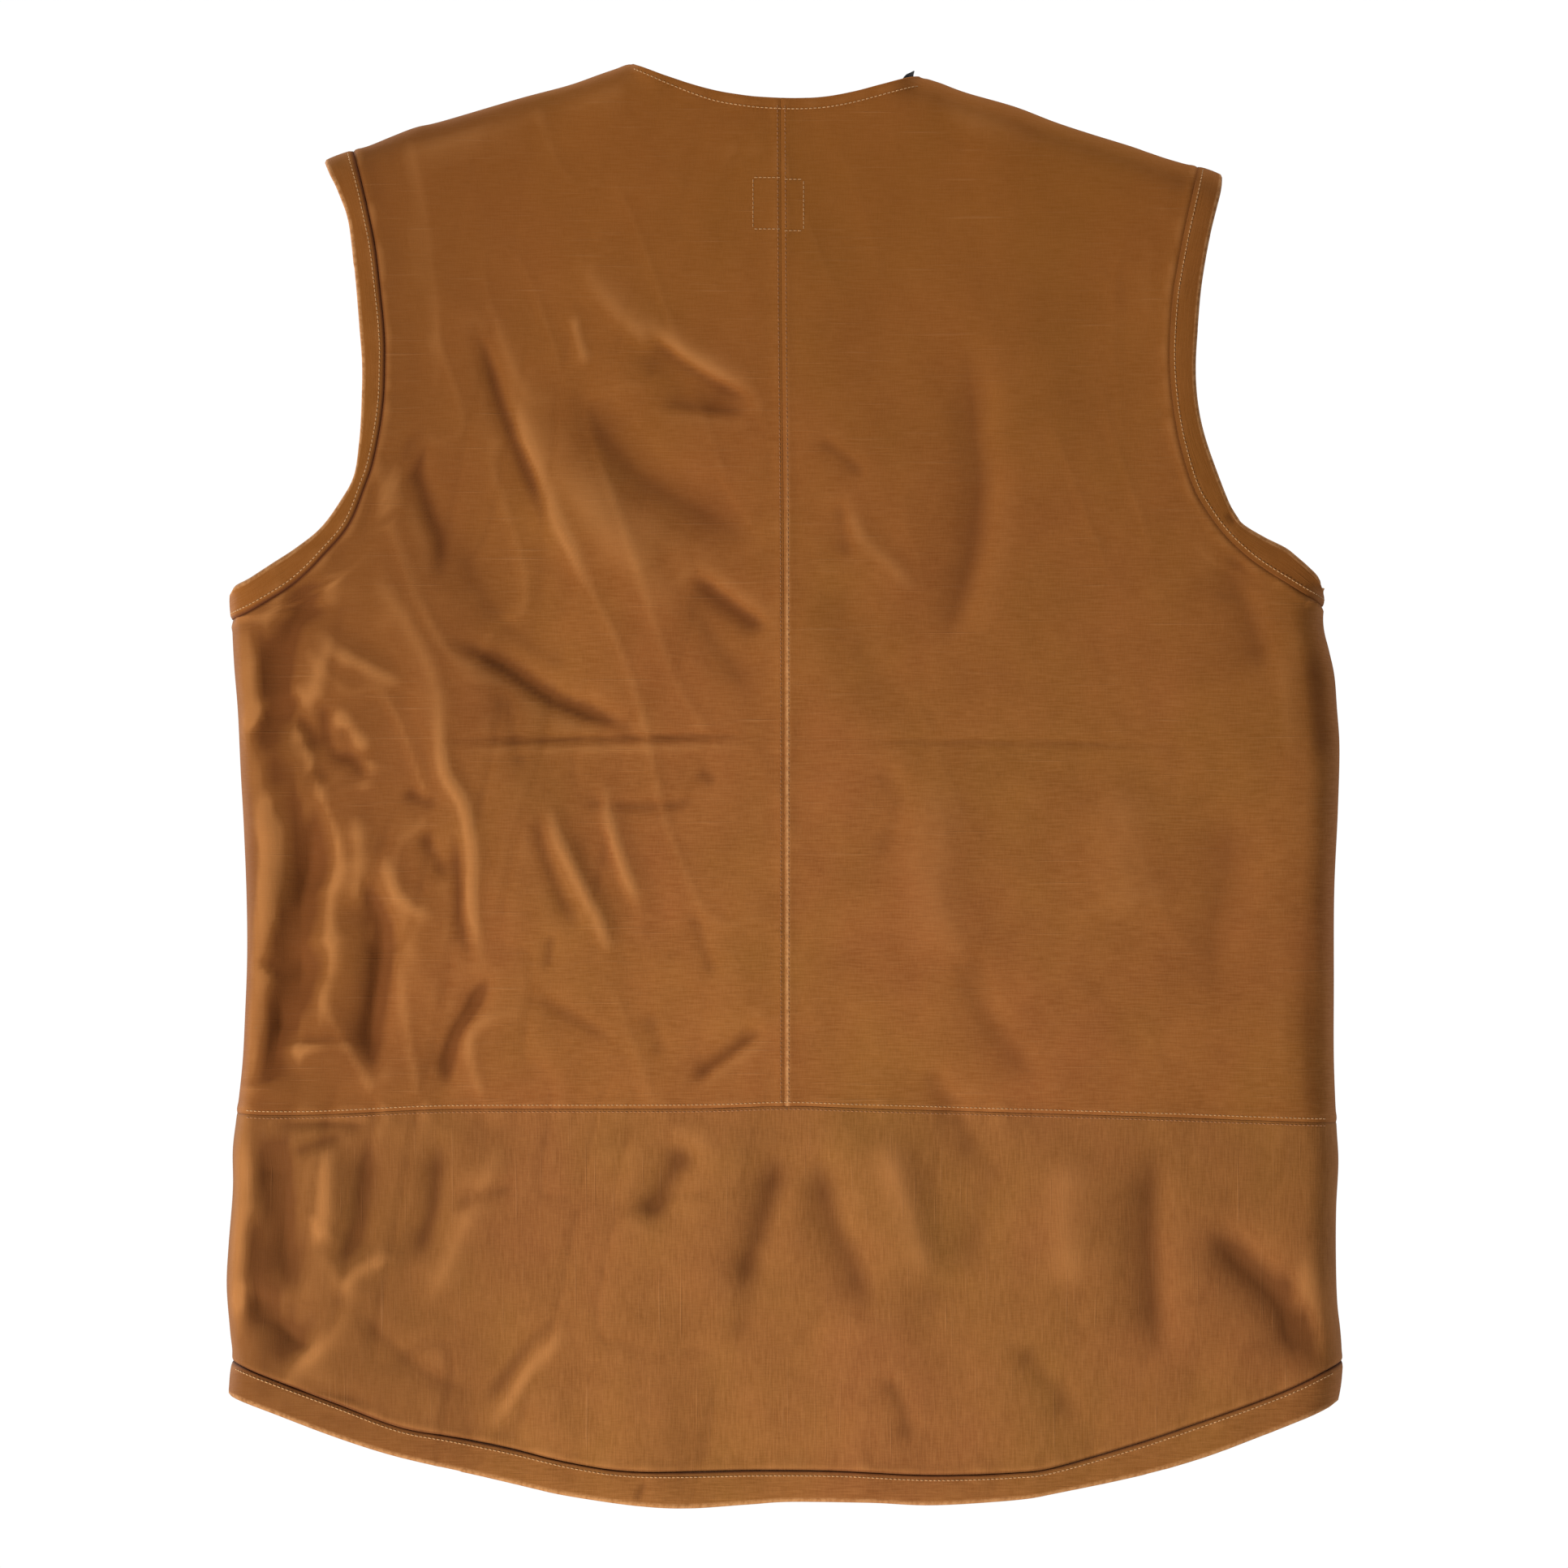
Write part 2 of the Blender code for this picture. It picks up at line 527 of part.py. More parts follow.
loop = []
for k in range(15):
    t = k / 14
    x, z, y = -30 + 60 * t, -17 - 22 * sin(pi * t), -29.6 + 9.5 * sin(pi * t)
    dx, dz = 60.0, -22 * pi * cos(pi * t)
    n = np.array([-dz, dx]) / hypot(dx, dz)
    loop.append([(x - 3.5 * n[0], y, z - 3.5 * n[1]), (x + 3.5 * n[0], y, z + 3.5 * n[1])])
sheet("hanger_loop", loop, (0, 1, 0), 1.0, TAPE_DARK, hub)


# ---------------------------------------------------------------- free fronts, their closure and pockets
pivots = {}
for s, way in SIDES.items():
    pivots[s] = empty(f"front_{s}_pivot", (fold_top[s][0], DEPTH - CLOTH / 2, fold_top[s][1]), hub)


def plate(name, outline_a, outline_b, y_out, thick, mat, parent):
    """A flat cloth piece between two borders of equal point count, outer face at y_out and facing +Y."""
    grid = [[(a[0], y_out, a[1]), (b[0], y_out, b[1])] for a, b in zip(outline_a, outline_b)]
    return sheet(name, grid, (0, 1, 0), thick, mat, parent)


def fold_x(s, z, off):
    a, b = fold_top[s], fold_foot[s]
    return a[0] + (b[0] - a[0]) * (z - a[1]) / (b[1] - a[1]) - SIDES[s] * off


for s, way in SIDES.items():
    pivot = pivots[s]
    edge_x = way * PANEL_EDGE[s]
    # panel: from the fold line to the V edge above, and to the free edge below
    arc_top = (FOLD_TOP_ARC + HINGE_GAP * 0.6) / v_edge[s].length
    outer, inner = [], []
    for t in np.linspace(arc_top, 1, 9):
        p = v_edge[s](t)
        inner.append(p)
        outer.append((fold_x(s, p[1], HINGE_GAP), p[1]))
    inner[0] = np.array([fold_x(s, inner[0][1], HINGE_GAP + 0.6), inner[0][1]])
    for z in np.linspace(V_TIP_Z, HEM_SEAM_FRONT + GAP, 7)[1:]:
        inner.append((edge_x, z))
        outer.append((fold_x(s, z, HINGE_GAP), z))
    plate(f"front_panel_{s}", outer, inner, DEPTH, CLOTH, CANVAS, pivot)
    rows = np.linspace(HEM_SEAM_FRONT - GAP, HEM_FRONT, 3)
    plate(f"hem_band_front_{s}", [(fold_x(s, z, 1.5), z) for z in rows], [(edge_x, z) for z in rows], DEPTH, BAND, CANVAS_BAND, pivot)
    # facing behind the V and the free edge
    y_facing = DEPTH - CLOTH - 0.3 - 0.6 - 0.3
    vs = [v_edge[s](t) for t in np.linspace(arc_top + 0.03, 1, 7)]
    side_in = way * 10.5 if s == "right" else edge_x
    outer = [(p[0] + way * 26 * (0.4 + 0.6 * k / 6), p[1] - 5 * k / 6) for k, p in enumerate(vs)]
    inner = [(max(abs(p[0] + way * 1.0), abs(side_in)) * way, p[1] - 0.6) for p in vs]
    for z in (-380.0, -550.0, HEM_SEAM_FRONT + 4):
        outer.append((side_in + way * 26, z))
        inner.append((side_in, z))
    plate(f"front_facing_{s}", outer, inner, y_facing, 1.0, LINING, pivot)
    # zipper
    a, b = CHAIN[s]
    y_mid = DEPTH - CLOTH - 0.3 - 0.3
    xs = sorted((way * a, way * b))
    box(f"zipper_chain_{s}", (xs[0], y_mid - 1.2, ZIP_BOTTOM), (xs[1], y_mid + 1.2, ZIP_TOP), BRASS, pivot)
    xs = sorted((way * TAPE[s][0], way * TAPE[s][1]))
    box(f"zipper_tape_{s}", (xs[0], y_mid - 0.3, HEM_SEAM_FRONT + 1), (xs[1], y_mid + 0.3, ZIP_TOP - 3), ZIP_TAPE, pivot)
    xs = sorted((way * a, way * b))
    box(f"zipper_stop_{s}", (xs[0] - 0.1, y_mid - 1.4, ZIP_TOP + 0.3), (xs[1] + 0.1, y_mid + 1.4, ZIP_TOP + 3.0), BRASS, pivot, bevel=0.4)

zip_y = DEPTH - CLOTH - 0.6
box("zipper_pin", (-4.4, zip_y - 1.1, -697.0), (-2.0, zip_y + 1.1, ZIP_BOTTOM - 0.3), BRASS, pivots["left"], bevel=0.3)
box("zipper_box", (-0.4, zip_y - 2.2, -697.0), (7.6, zip_y + 2.6, ZIP_BOTTOM - 0.6), BRASS, pivots["right"], bevel=0.6)

# slider: two plates joined by a post beside the chain, with a crown that holds the pull
slide = empty("zipper_slider_origin", (4.0, zip_y, -681.0), pivots["right"])
top = zip_y + 1.6
body = box("zipper_slider", (-0.6, top, -686.0), (8.6, top + 1.2, -676.0), BRASS, slide)
under = box("slider_under_plate", (-0.6, zip_y - 2.8, -686.0), (8.6, zip_y - 1.6, -676.0), BRASS, slide)
post = box("slider_post", (1.6, zip_y - 2.0, -683.0), (4.2, zip_y + 2.0, -676.4), BRASS, slide)
crown_a = box("slider_crown_low", (2.8, top + 0.6, -685.0), (5.2, top + 4.0, -683.8), BRASS, slide)
crown_b = box("slider_crown_high", (2.8, top + 0.6, -678.2), (5.2, top + 4.0, -677.0), BRASS, slide)
crown_c = box("slider_crown_top", (2.8, top + 3.0, -684.9), (5.2, top + 4.0, -677.1), BRASS, slide)
for extra in (under, post, crown_a, crown_b, crown_c):
    combine(body, extra, "UNION")

pull_axis = (4.0, top + 2.1, -679.3)
swing = empty("zipper_pull_pivot", pull_axis, slide)
pull = box("zipper_pull", (0.6, pull_axis[1] - 0.6, -709.0), (7.4, pull_axis[1] + 0.6, -678.7), BRASS, swing)
hole = box("pull_hole", (1.9, pull_axis[1] - 3, -687.0), (6.1, pull_axis[1] + 3, -679.9), BRASS, swing)
slot = box("pull_slot", (2.4, pull_axis[1] - 3, -706.0), (5.6, pull_axis[1] + 3, -700.0), BRASS, swing)
combine(pull, hole, "DIFFERENCE")
combine(pull, slot, "DIFFERENCE")


def pocket(kind, s, d):
    way = SIDES[s]
    y0 = DEPTH + 0.3
    y1 = y0 + d["depth"]
    xs = sorted((way * d["x0"], way * d["x1"]))
    tray = box(f"{kind}_pocket_{s}", (xs[0], y0, d["bottom"]), (xs[1], y1, d["top"]), CANVAS, pivots[s])
    room = box(f"{kind}_pocket_{s}_room", (xs[0] + CLOTH, y0 - 5, d["bottom"] + CLOTH), (xs[1] - CLOTH, y1 - CLOTH, d["top"] + 5), CANVAS, pivots[s])
    combine(tray, room, "DIFFERENCE")
    # flap: down a slope over the mouth, then down the pocket's front
    hinge = (0, y0 + 1.0, d["top"] + d["rise"])
    turn = empty(f"{kind}_flap_{s}_pivot", (way * (d["x0"] + d["x1"]) / 2, hinge[1], hinge[2]), pivots[s])
    y_leg = y1 + SNAP_GAP + CLOTH
    profile = [(hinge[1] + 0.5, hinge[2] + 0.5), (y_leg, d["top"] + 2.3), (y_leg, d["top"] - d["drop"])]
    grid = [[(x, p[0], p[1]) for x in (xs[0] - 1.5, xs[1] + 1.5)] for p in profile]
    sheet(f"{kind}_flap_{s}", grid, (0, 1, 0.3), CLOTH, CANVAS, turn)
    for n, x in enumerate(d["snaps"]):
        tag = "" if len(d["snaps"]) == 1 else "_" + "ab"[n]
        z = d["top"] - d["drop"] + 13
        button(f"{kind}_snap_cap_{s}{tag}", way * x, y_leg + 0.3, y_leg + 2.6, z, 6.2, STEEL, turn, dome=1.0)
        button(f"{kind}_snap_stud_{s}{tag}", way * x, y1 + 0.3, y1 + 1.6, z, 3.6, STEEL, pivots[s])


for s in SIDES:
    pocket("chest", s, CHEST)
    pocket("lower", s, LOWER)

# accessory ring on the right chest: a tab with a sewn loop, and a D ring that hangs in it
rx, rz = RING_AT
eye = (rx, DEPTH + 4.2, rz - 21.0)
tab = box("d_ring_tab", (rx - 7, DEPTH + 0.3, rz - 22), (rx + 7, DEPTH + 1.8, rz), CANVAS_BAND, pivots["right"])


def tube(name, at, half, radius, mat, parent):
    mesh = bpy.data.meshes.new(name)
    bm = bmesh.new()
    bmesh.ops.create_cone(bm, cap_ends=True, segments=24, radius1=radius * 0.001, radius2=radius * 0.001, depth=2 * half * 0.001)
    for v in bm.verts:
        v.co = Vector((v.co.z, v.co.x, v.co.y)) + Vector(at) * 0.001
    bm.normal_update()
    bm.to_mesh(mesh)
    bm.free()
    return finish_object(name, mesh, mat, parent)


combine(tab, tube("tab_loop", eye, 7, 3.7, CANVAS_BAND, pivots["right"]), "UNION")
combine(tab, tube("tab_bore", eye, 12, 2.3, CANVAS_BAND, pivots["right"]), "DIFFERENCE")
ring_pivot = empty("d_ring_pivot", eye, pivots["right"])
curve = bpy.data.curves.new("d_ring", "CURVE")
curve.dimensions = "3D"
curve.bevel_depth = 0.00125
curve.bevel_resolution = 2
spline = curve.splines.new("POLY")
path = [(-8.5, 0.0), (8.5, 0.0), (10.3, -0.9), (11.0, -3.0)]
path += [(11.0 * cos(radians(a)), -5.5 - 10.0 * sin(radians(a))) for a in range(0, 181, 15)]
path += [(-11.0, -3.0), (-10.3, -0.9)]
spline.points.add(len(path) - 1)
for point, (px, pz) in zip(spline.points, path):
    point.co = (px * 0.001, 0.0, pz * 0.001, 1.0)
spline.use_cyclic_u = True
curve.materials.append(BRASS)
d_ring = bpy.data.objects.new("d_ring", curve)
scene.collection.objects.link(d_ring)
d_ring.parent = ring_pivot
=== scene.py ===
"""The looks of the sleeveless canvas fishing vest: cloth, seams, stitching, closure and pockets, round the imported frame.
Lengths here are millimetres in the frame's own axes until an object is made. Outlines are the same as the frame's."""
import bpy
import numpy as np
from math import pi, sin, cos, radians, hypot, atan2
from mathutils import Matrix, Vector


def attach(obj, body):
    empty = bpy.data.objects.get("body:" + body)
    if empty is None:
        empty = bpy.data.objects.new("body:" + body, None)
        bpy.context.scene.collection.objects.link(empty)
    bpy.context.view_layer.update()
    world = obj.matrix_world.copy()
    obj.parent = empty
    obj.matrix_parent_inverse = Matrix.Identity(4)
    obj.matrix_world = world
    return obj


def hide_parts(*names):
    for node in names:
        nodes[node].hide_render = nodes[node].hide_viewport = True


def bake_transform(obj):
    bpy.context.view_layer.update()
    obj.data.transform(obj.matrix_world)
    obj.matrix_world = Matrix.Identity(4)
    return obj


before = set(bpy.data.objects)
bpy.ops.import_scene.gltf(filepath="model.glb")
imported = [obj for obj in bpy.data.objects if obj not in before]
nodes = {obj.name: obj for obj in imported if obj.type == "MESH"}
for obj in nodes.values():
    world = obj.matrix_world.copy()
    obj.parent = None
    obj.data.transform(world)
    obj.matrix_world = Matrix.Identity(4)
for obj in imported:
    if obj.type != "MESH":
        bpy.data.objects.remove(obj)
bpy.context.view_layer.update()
scene = bpy.context.scene

# ---------------------------------------------------------------- camera first
MIDDLE = Vector((0.0, 0.0, -0.378))
cam_data = bpy.data.cameras.new("view_camera")
cam = bpy.data.objects.new("view_camera", cam_data)
scene.collection.objects.link(cam)
cam.location = MIDDLE + Vector((0, -7.0, 0))
cam.rotation_euler = (radians(90), 0, 0)
cam_data.sensor_width = 36.0
cam_data.lens = 36.0 * 7.0 / 0.8694
cam_data.clip_end = 100
scene.camera = cam

# ---------------------------------------------------------------- driving dimensions, mm
DEPTH, ROUND = 35.0, 30.0
CLOTH, BAND = 1.5, 2.4
SCOOP = 15.0
HEM_FRONT, HEM_SEAM_FRONT = -715.0, -697.5
SIDES = {"left": -1, "right": 1}
SHOULDER = {
    "left": [(-253.4, -32.4), (-239.4, -27.5), (-228.6, -23.9), (-215.6, -18.5), (-203.4, -14), (-189.5, -10.8),
             (-146.7, 1.8), (-119.7, 9), (-101.7, 15.3), (-86, 20.7)],
    "right": [(241.7, -40.5), (229.5, -36.4), (220.5, -34), (206.6, -29.8), (192.6, -24.8), (170.6, -18), (150.3, -11.3),
              (127.8, -2.7), (101, 5), (85.5, 10.8), (77.4, 13)],
}
ARM_EDGE = {
    "left": [(-253.4, -32.4), (-249.6, -41), (-245.7, -49), (-239.4, -67), (-235.8, -96), (-233.6, -121), (-231.8, -146),
             (-232.2, -168), (-233.6, -189), (-237, -209), (-244.4, -223), (-255.6, -238), (-269.6, -249.3), (-283.5, -258.3),
             (-295.5, -266), (-303.5, -270), (-306.9, -274)],
    "right": [(241.7, -40.5), (239.9, -51), (235.8, -67), (232.2, -84), (229, -104.4), (227.3, -124), (226, -148),
              (227.3, -168.3), (231.3, -187), (239, -209), (246, -226), (252, -234.9), (264.2, -242.6), (278, -249.8),
              (289.8, -260), (295.6, -266), (298.4, -272.7)],
}
BAND_SEAM = {
    "left": [(-238.9, -27.3), (-233.6, -46), (-229, -66), (-225.6, -84), (-223.2, -105), (-221, -126.5), (-220.5, -143),
             (-221.6, -170), (-226.4, -198), (-231.3, -213.3), (-240.3, -235), (-254.7, -252), (-264, -261.5),
             (-274.5, -270), (-292, -280.4), (-305.9, -287)],
    "right": [(229.2, -36.3), (225.5, -53), (221.4, -71), (218.3, -87), (215, -106), (213.3, -126.5), (212.9, -146.3),
              (214.7, -168.3), (218.6, -190), (225.5, -213.3), (232.2, -225.5), (240.8, -237.6), (250.2, -247.5),
              (262.4, -257.4), (281, -269), (298.6, -279.6)],
}
SIDE = {
    "left": [(-306.9, -274), (-306, -288), (-304.7, -312), (-302.6, -338), (-301, -372), (-299.3, -402), (-297.8, -440),
             (-297.5, -474), (-298.6, -505), (-300, -532), (-303, -560), (-305.4, -580), (-305.4, -603), (-307.8, -634),
             (-308.8, -656), (-307, -680), (-305.4, -697), (-307.4, -715)],
    "right": [(298.4, -272.7), (299, -291), (302, -304), (305, -318), (306.4, -336), (307.8, -358), (306.9, -393),
              (304.9, -438), (304.7, -490), (304.7, -530), (306, -565), (307.2, -587), (306, -612), (305.8, -638),
              (306.5, -664), (308.4, -682), (309.2, -699.3), (306.9, -718.7)],
}
NECK = [(-86, 20.7), (-64.4, 12.2), (-41, 5), (-23, 1.8), (-9.5, 0.5), (6.8, 0), (22.5, 0.8), (38.3, 3.6), (54, 7.7),
        (69.8, 11.9), (77.4, 13)]
CENTRE_SEAM = [(-1.8, 0.2), (-1.2, -120), (0, -258), (0.2, -420), (0.2, -555.6)]
WAIST = [(-303, -560), (-282, -560.7), (-252, -560.3), (-201.6, -557.8), (-164.7, -557.2), (-52.2, -557), (0.2, -555.6),
         (37.8, -556.7), (82.8, -558), (195.3, -561.2), (255.6, -563.4), (306, -565)]
HEM_SEAM = [(-305.4, -697.5), (-282.2, -706.6), (-247.5, -719.4), (-213.3, -732.2), (-184.5, -738), (-149.9, -745.2),
            (-119.7, -752.3), (-90, -757), (-55.4, -757.9), (-9.9, -757), (35, -757.4), (82.8, -759.6), (127.8, -758),
            (150.3, -755), (195.3, -742), (229.5, -730.4), (264.2, -717.8), (285.8, -709), (309.2, -697.5)]
HEM_EDGE = [(-307.4, -715), (-288, -721.8), (-253.4, -734.9), (-218.7, -746.4), (-178.7, -756), (-142.2, -764.6),
            (-119.7, -769.5), (-82.4, -775), (-52.7, -776.6), (-18.9, -774.4), (3.2, -773), (48.2, -773.4), (82.8, -774.8),
            (127.8, -772), (150.3, -768.4), (195.3, -758.9), (229.5, -749.3), (260.6, -737.8), (288, -727), (306.9, -718.7)]
V_TIP_Z = -208.0
FOLD_TOP_ARC, FOLD_FOOT_X = 46.0, 262.0
PANEL_EDGE = {"left": 7.0, "right": 9.5}
CHAIN = {"left": (1.8, 4.6), "right": (4.6, 7.4)}
TAPE = {"left": (4.9, 20.0), "right": (7.7, 22.0)}
ZIP_TOP, ZIP_BOTTOM = -206.0, -687.0
CHEST = dict(x0=24.0, x1=104.0, top=-235.0, bottom=-352.0, depth=14.0, rise=14.5, drop=38.0, snaps=(64.0,))
LOWER = dict(x0=26.0, x1=154.0, top=-425.0, bottom=-640.0, depth=25.0, rise=21.0, drop=51.0, snaps=(52.0, 128.0))
SNAP_GAP = 1.95
RING_AT = (70.0, -150.0)
STITCH = 2.45         # stitch pitch


# ---------------------------------------------------------------- curves
def smooth(points, steps=8):
    p = np.array(points, float)
    q = np.vstack([2 * p[0] - p[1], p, 2 * p[-1] - p[-2]])
    out = []
    for i in range(1, len(q) - 2):
        a, b, c, d = q[i - 1:i + 3]
        for k in range(steps):
            t = k / steps
            out.append(0.5 * (2 * b + (c - a) * t + (2 * a - 5 * b + 4 * c - d) * t * t + (3 * b - a - 3 * c + d) * t ** 3))
    out.append(p[-1])
    return np.array(out)


class Path:
    """A polyline read by its length."""

    def __init__(self, points):
        self.p = np.array(points, float)
        step = np.hypot(*np.diff(self.p, axis=0).T)
        keep = np.concatenate([[True], step > 1e-9])
        self.p = self.p[keep]
        self.s = np.concatenate([[0], np.cumsum(np.hypot(*np.diff(self.p, axis=0).T))])
        self.length = self.s[-1]

    def at(self, s):
        """The points at lengths s."""
        s = np.clip(s, 0, self.length)
        return np.stack([np.interp(s, self.s, self.p[:, 0]), np.interp(s, self.s, self.p[:, 1])], -1)

    def at_x(self, x):
        order = np.argsort(self.p[:, 0])
        return np.interp(x, self.p[order, 0], self.p[order, 1])

    def part(self, a, b):
        """The stretch from length a to length b, every corner between them kept."""
        lo, hi = min(a, b), max(a, b)
        inner = self.p[(self.s > lo + 1e-6) & (self.s < hi - 1e-6)]
        out = np.vstack([self.at(lo), inner, self.at(hi)])
        return out if a <= b else out[::-1]

    def nearest(self, point):
        return self.s[int(np.hypot(self.p[:, 0] - point[0], self.p[:, 1] - point[1]).argmin())]


def moved(points, by):
    p = np.array(points, float)
    d = np.gradient(p, axis=0)
    n = np.stack([-d[:, 1], d[:, 0]], 1) / np.maximum(np.hypot(*d.T), 1e-9)[:, None]
    return p + n * by


shoulder = {s: Path(smooth(SHOULDER[s])) for s in SIDES}
side = {s: Path(smooth(SIDE[s])) for s in SIDES}
arm_edge = {("back", s): Path(smooth(ARM_EDGE[s])) for s in SIDES}
band_seam = {("back", s): Path(smooth(BAND_SEAM[s])) for s in SIDES}
for s, way in SIDES.items():
    for curves in (arm_edge, band_seam):
        back = curves["back", s]
        pushed = back.p.copy()
        pushed[:, 0] -= way * SCOOP * np.sin(pi * back.s / back.length) ** 1.3
        curves["front", s] = Path(pushed)
neck, waist = Path(smooth(NECK)), Path(smooth(WAIST))
hem_seam, hem_edge = Path(smooth(HEM_SEAM)), Path(smooth(HEM_EDGE))
centre = Path(smooth(CENTRE_SEAM))
v_edge, fold_top, fold_foot = {}, {}, {}
for s, way in SIDES.items():
    start, tip = shoulder[s].p[-1], np.array([way * PANEL_EDGE[s], V_TIP_Z])
    t = np.linspace(0, 1, 25)[:, None]
    across = np.array([-(tip - start)[1], (tip - start)[0]]) / hypot(*(tip - start))
    v_edge[s] = Path(start + (tip - start) * t - way * across * 5.0 * np.sin(pi * t))
    fold_top[s] = v_edge[s].at(FOLD_TOP_ARC)
    fold_foot[s] = np.array([way * FOLD_FOOT_X, HEM_FRONT])
FOLDS = [shoulder["left"].p, shoulder["right"].p, side["left"].p, side["right"].p]


def near(line, x, z, reach=1e9):
    """For the points within reach of a polyline: which they are, their distance, side, share of its length and its near point."""
    line = np.asarray(line, float)
    a, ab = line[:-1], np.diff(line, axis=0)
    seg = np.maximum(np.hypot(*ab.T), 1e-9)
    run = np.concatenate([[0], np.cumsum(seg)])
    lo, hi = line.min(0) - reach, line.max(0) + reach
    pick = np.nonzero((x > lo[0]) & (x < hi[0]) & (z > lo[1]) & (z < hi[1]))[0]
    if not len(pick):
        return pick, np.zeros(0), np.zeros(0), np.zeros(0), np.zeros((0, 2))
    out = []
    for part in np.array_split(pick, max(1, len(pick) * len(a) // 3000000 + 1)):
        px, pz = x[part][:, None], z[part][:, None]
        t = np.clip(((px - a[:, 0]) * ab[:, 0] + (pz - a[:, 1]) * ab[:, 1]) / seg ** 2, 0, 1)
        dx, dz = px - (a[:, 0] + ab[:, 0] * t), pz - (a[:, 1] + ab[:, 1] * t)
        d2 = dx * dx + dz * dz
        i = d2.argmin(1)
        r = np.arange(len(part))
        turn = ab[i, 0] * dz[r, i] - ab[i, 1] * dx[r, i]
        foot = np.stack([a[i, 0] + ab[i, 0] * t[r, i], a[i, 1] + ab[i, 1] * t[r, i]], 1)
        out.append((part, np.sqrt(d2[r, i]), np.sign(turn), (run[i] + t[r, i] * seg[i]) / run[-1], foot, np.stack([-ab[i, 1], ab[i, 0]], 1) / seg[i][:, None]))
    cat = [np.concatenate([o[k] for o in out]) for k in range(6)]
    near.perp = cat[5]
    return cat[:5]


def fold_distance(x, z):
    """Distance to the nearest closed edge, and the direction that leads inwards from it."""
    best = np.full(len(x), 1e9)
    ax, az = np.zeros(len(x)), np.zeros(len(x))
    for line in FOLDS:
        pick, d, _, _, foot = near(line, x, z, 45.0)
        perp = near.perp if len(pick) else None
        if not len(pick):
            continue
        inward = np.stack([-foot[:, 0] * 0.6, -380 - foot[:, 1]], 1)
        perp = perp * np.where((perp * inward).sum(1) < 0, -1, 1)[:, None]
        direct = np.stack([x[pick] - foot[:, 0], z[pick] - foot[:, 1]], 1) / np.maximum(d, 1e-6)[:, None]
        blend = np.clip(d / 1.5, 0, 1)[:, None]
        way_in = perp * (1 - blend) + direct * blend
        way_in /= np.maximum(np.hypot(*way_in.T), 1e-9)[:, None]
        win = d < best[pick]
        best[pick[win]] = d[win]
        ax[pick[win]], az[pick[win]] = way_in[win].T
    return best, ax, az


# arc length that the rounded edge adds beyond the flat distance
_c = np.linspace(0, 1, 4001)
_d = ROUND * (1 - _c)
_y = DEPTH * (1 - _c ** 3) ** (1 / 3)
_arc = np.concatenate([[0], np.cumsum(np.hypot(np.diff(_d), np.diff(_y)))])
_extra = _arc - (ROUND - _d)


def shell(x, z, face, lift=0.0, inset=0.0):
    """Points of the shell over (x, z) on the back (-1) or front (+1), raised by lift and set in by inset. Gives points and normals."""
    x, z = np.atleast_1d(np.asarray(x, float)), np.atleast_1d(np.asarray(z, float))
    shape = x.shape
    xf, zf = x.ravel(), z.ravel()
    d, ax, az = fold_distance(xf, zf)
    c = 1 - np.clip(d / ROUND, 0, 1)
    y = DEPTH * (1 - c ** 3) ** (1 / 3)
    slope_up = (DEPTH / ROUND) * c ** 2
    flat_up = np.maximum(1 - c ** 3, 1e-9) ** (2 / 3)
    n_in, n_up = slope_up, flat_up
    size = np.hypot(n_in, n_up)
    n_in, n_up = n_in / size, n_up / size
    up = np.asarray(lift, float).ravel() - np.asarray(inset, float).ravel() if np.ndim(lift) or np.ndim(inset) else lift - inset
    normal = np.stack([-ax * n_in, face * n_up, -az * n_in], 1)
    point = np.stack([xf, face * np.maximum(y, 0.06), zf], 1) + normal * np.reshape(np.broadcast_to(up, len(xf)), (-1, 1))
    return point.reshape(*shape, 3), normal.reshape(*shape, 3), d.reshape(shape)


def flat_place(x, z):
    """Where a point of the shell lies on the cloth laid flat, so that the weave isn't stretched round the folds."""
    xf, zf = np.asarray(x, float).ravel(), np.asarray(z, float).ravel()
    d, ax, az = fold_distance(xf, zf)
    extra = np.interp(np.clip(ROUND - d, 0, ROUND), ROUND - _d, _extra)
    return (xf - ax * extra).reshape(np.shape(x)), (zf - az * extra).reshape(np.shape(x))


# ---------------------------------------------------------------- relief of the cloth
LATTICE = np.random.RandomState(11).rand(256, 256) * 2 - 1


def noise2(x, z, size, seed=0):
    u, v = x / size + seed * 17.31, z / size + seed * 5.77
    i, j = np.floor(u).astype(int), np.floor(v).astype(int)
    f, g = u - i, v - j
    f, g = f * f * f * (f * (f * 6 - 15) + 10), g * g * g * (g * (g * 6 - 15) + 10)
    a, b = LATTICE[i % 256, j % 256], LATTICE[(i + 1) % 256, j % 256]
    c, d = LATTICE[i % 256, (j + 1) % 256], LATTICE[(i + 1) % 256, (j + 1) % 256]
    return (a * (1 - f) + b * f) * (1 - g) + (c * (1 - f) + d * f) * g


def ramp(x, a, b):
    t = np.clip((x - a) / (b - a), 0, 1)
    return t * t * (3 - 2 * t)


def pts(*p):
    """Points of the flat back, counted in units of 0.45 mm across from its left and down from its top."""
    return [((x - 966) * 0.45, (126 - y) * 0.45) for x, y in p]


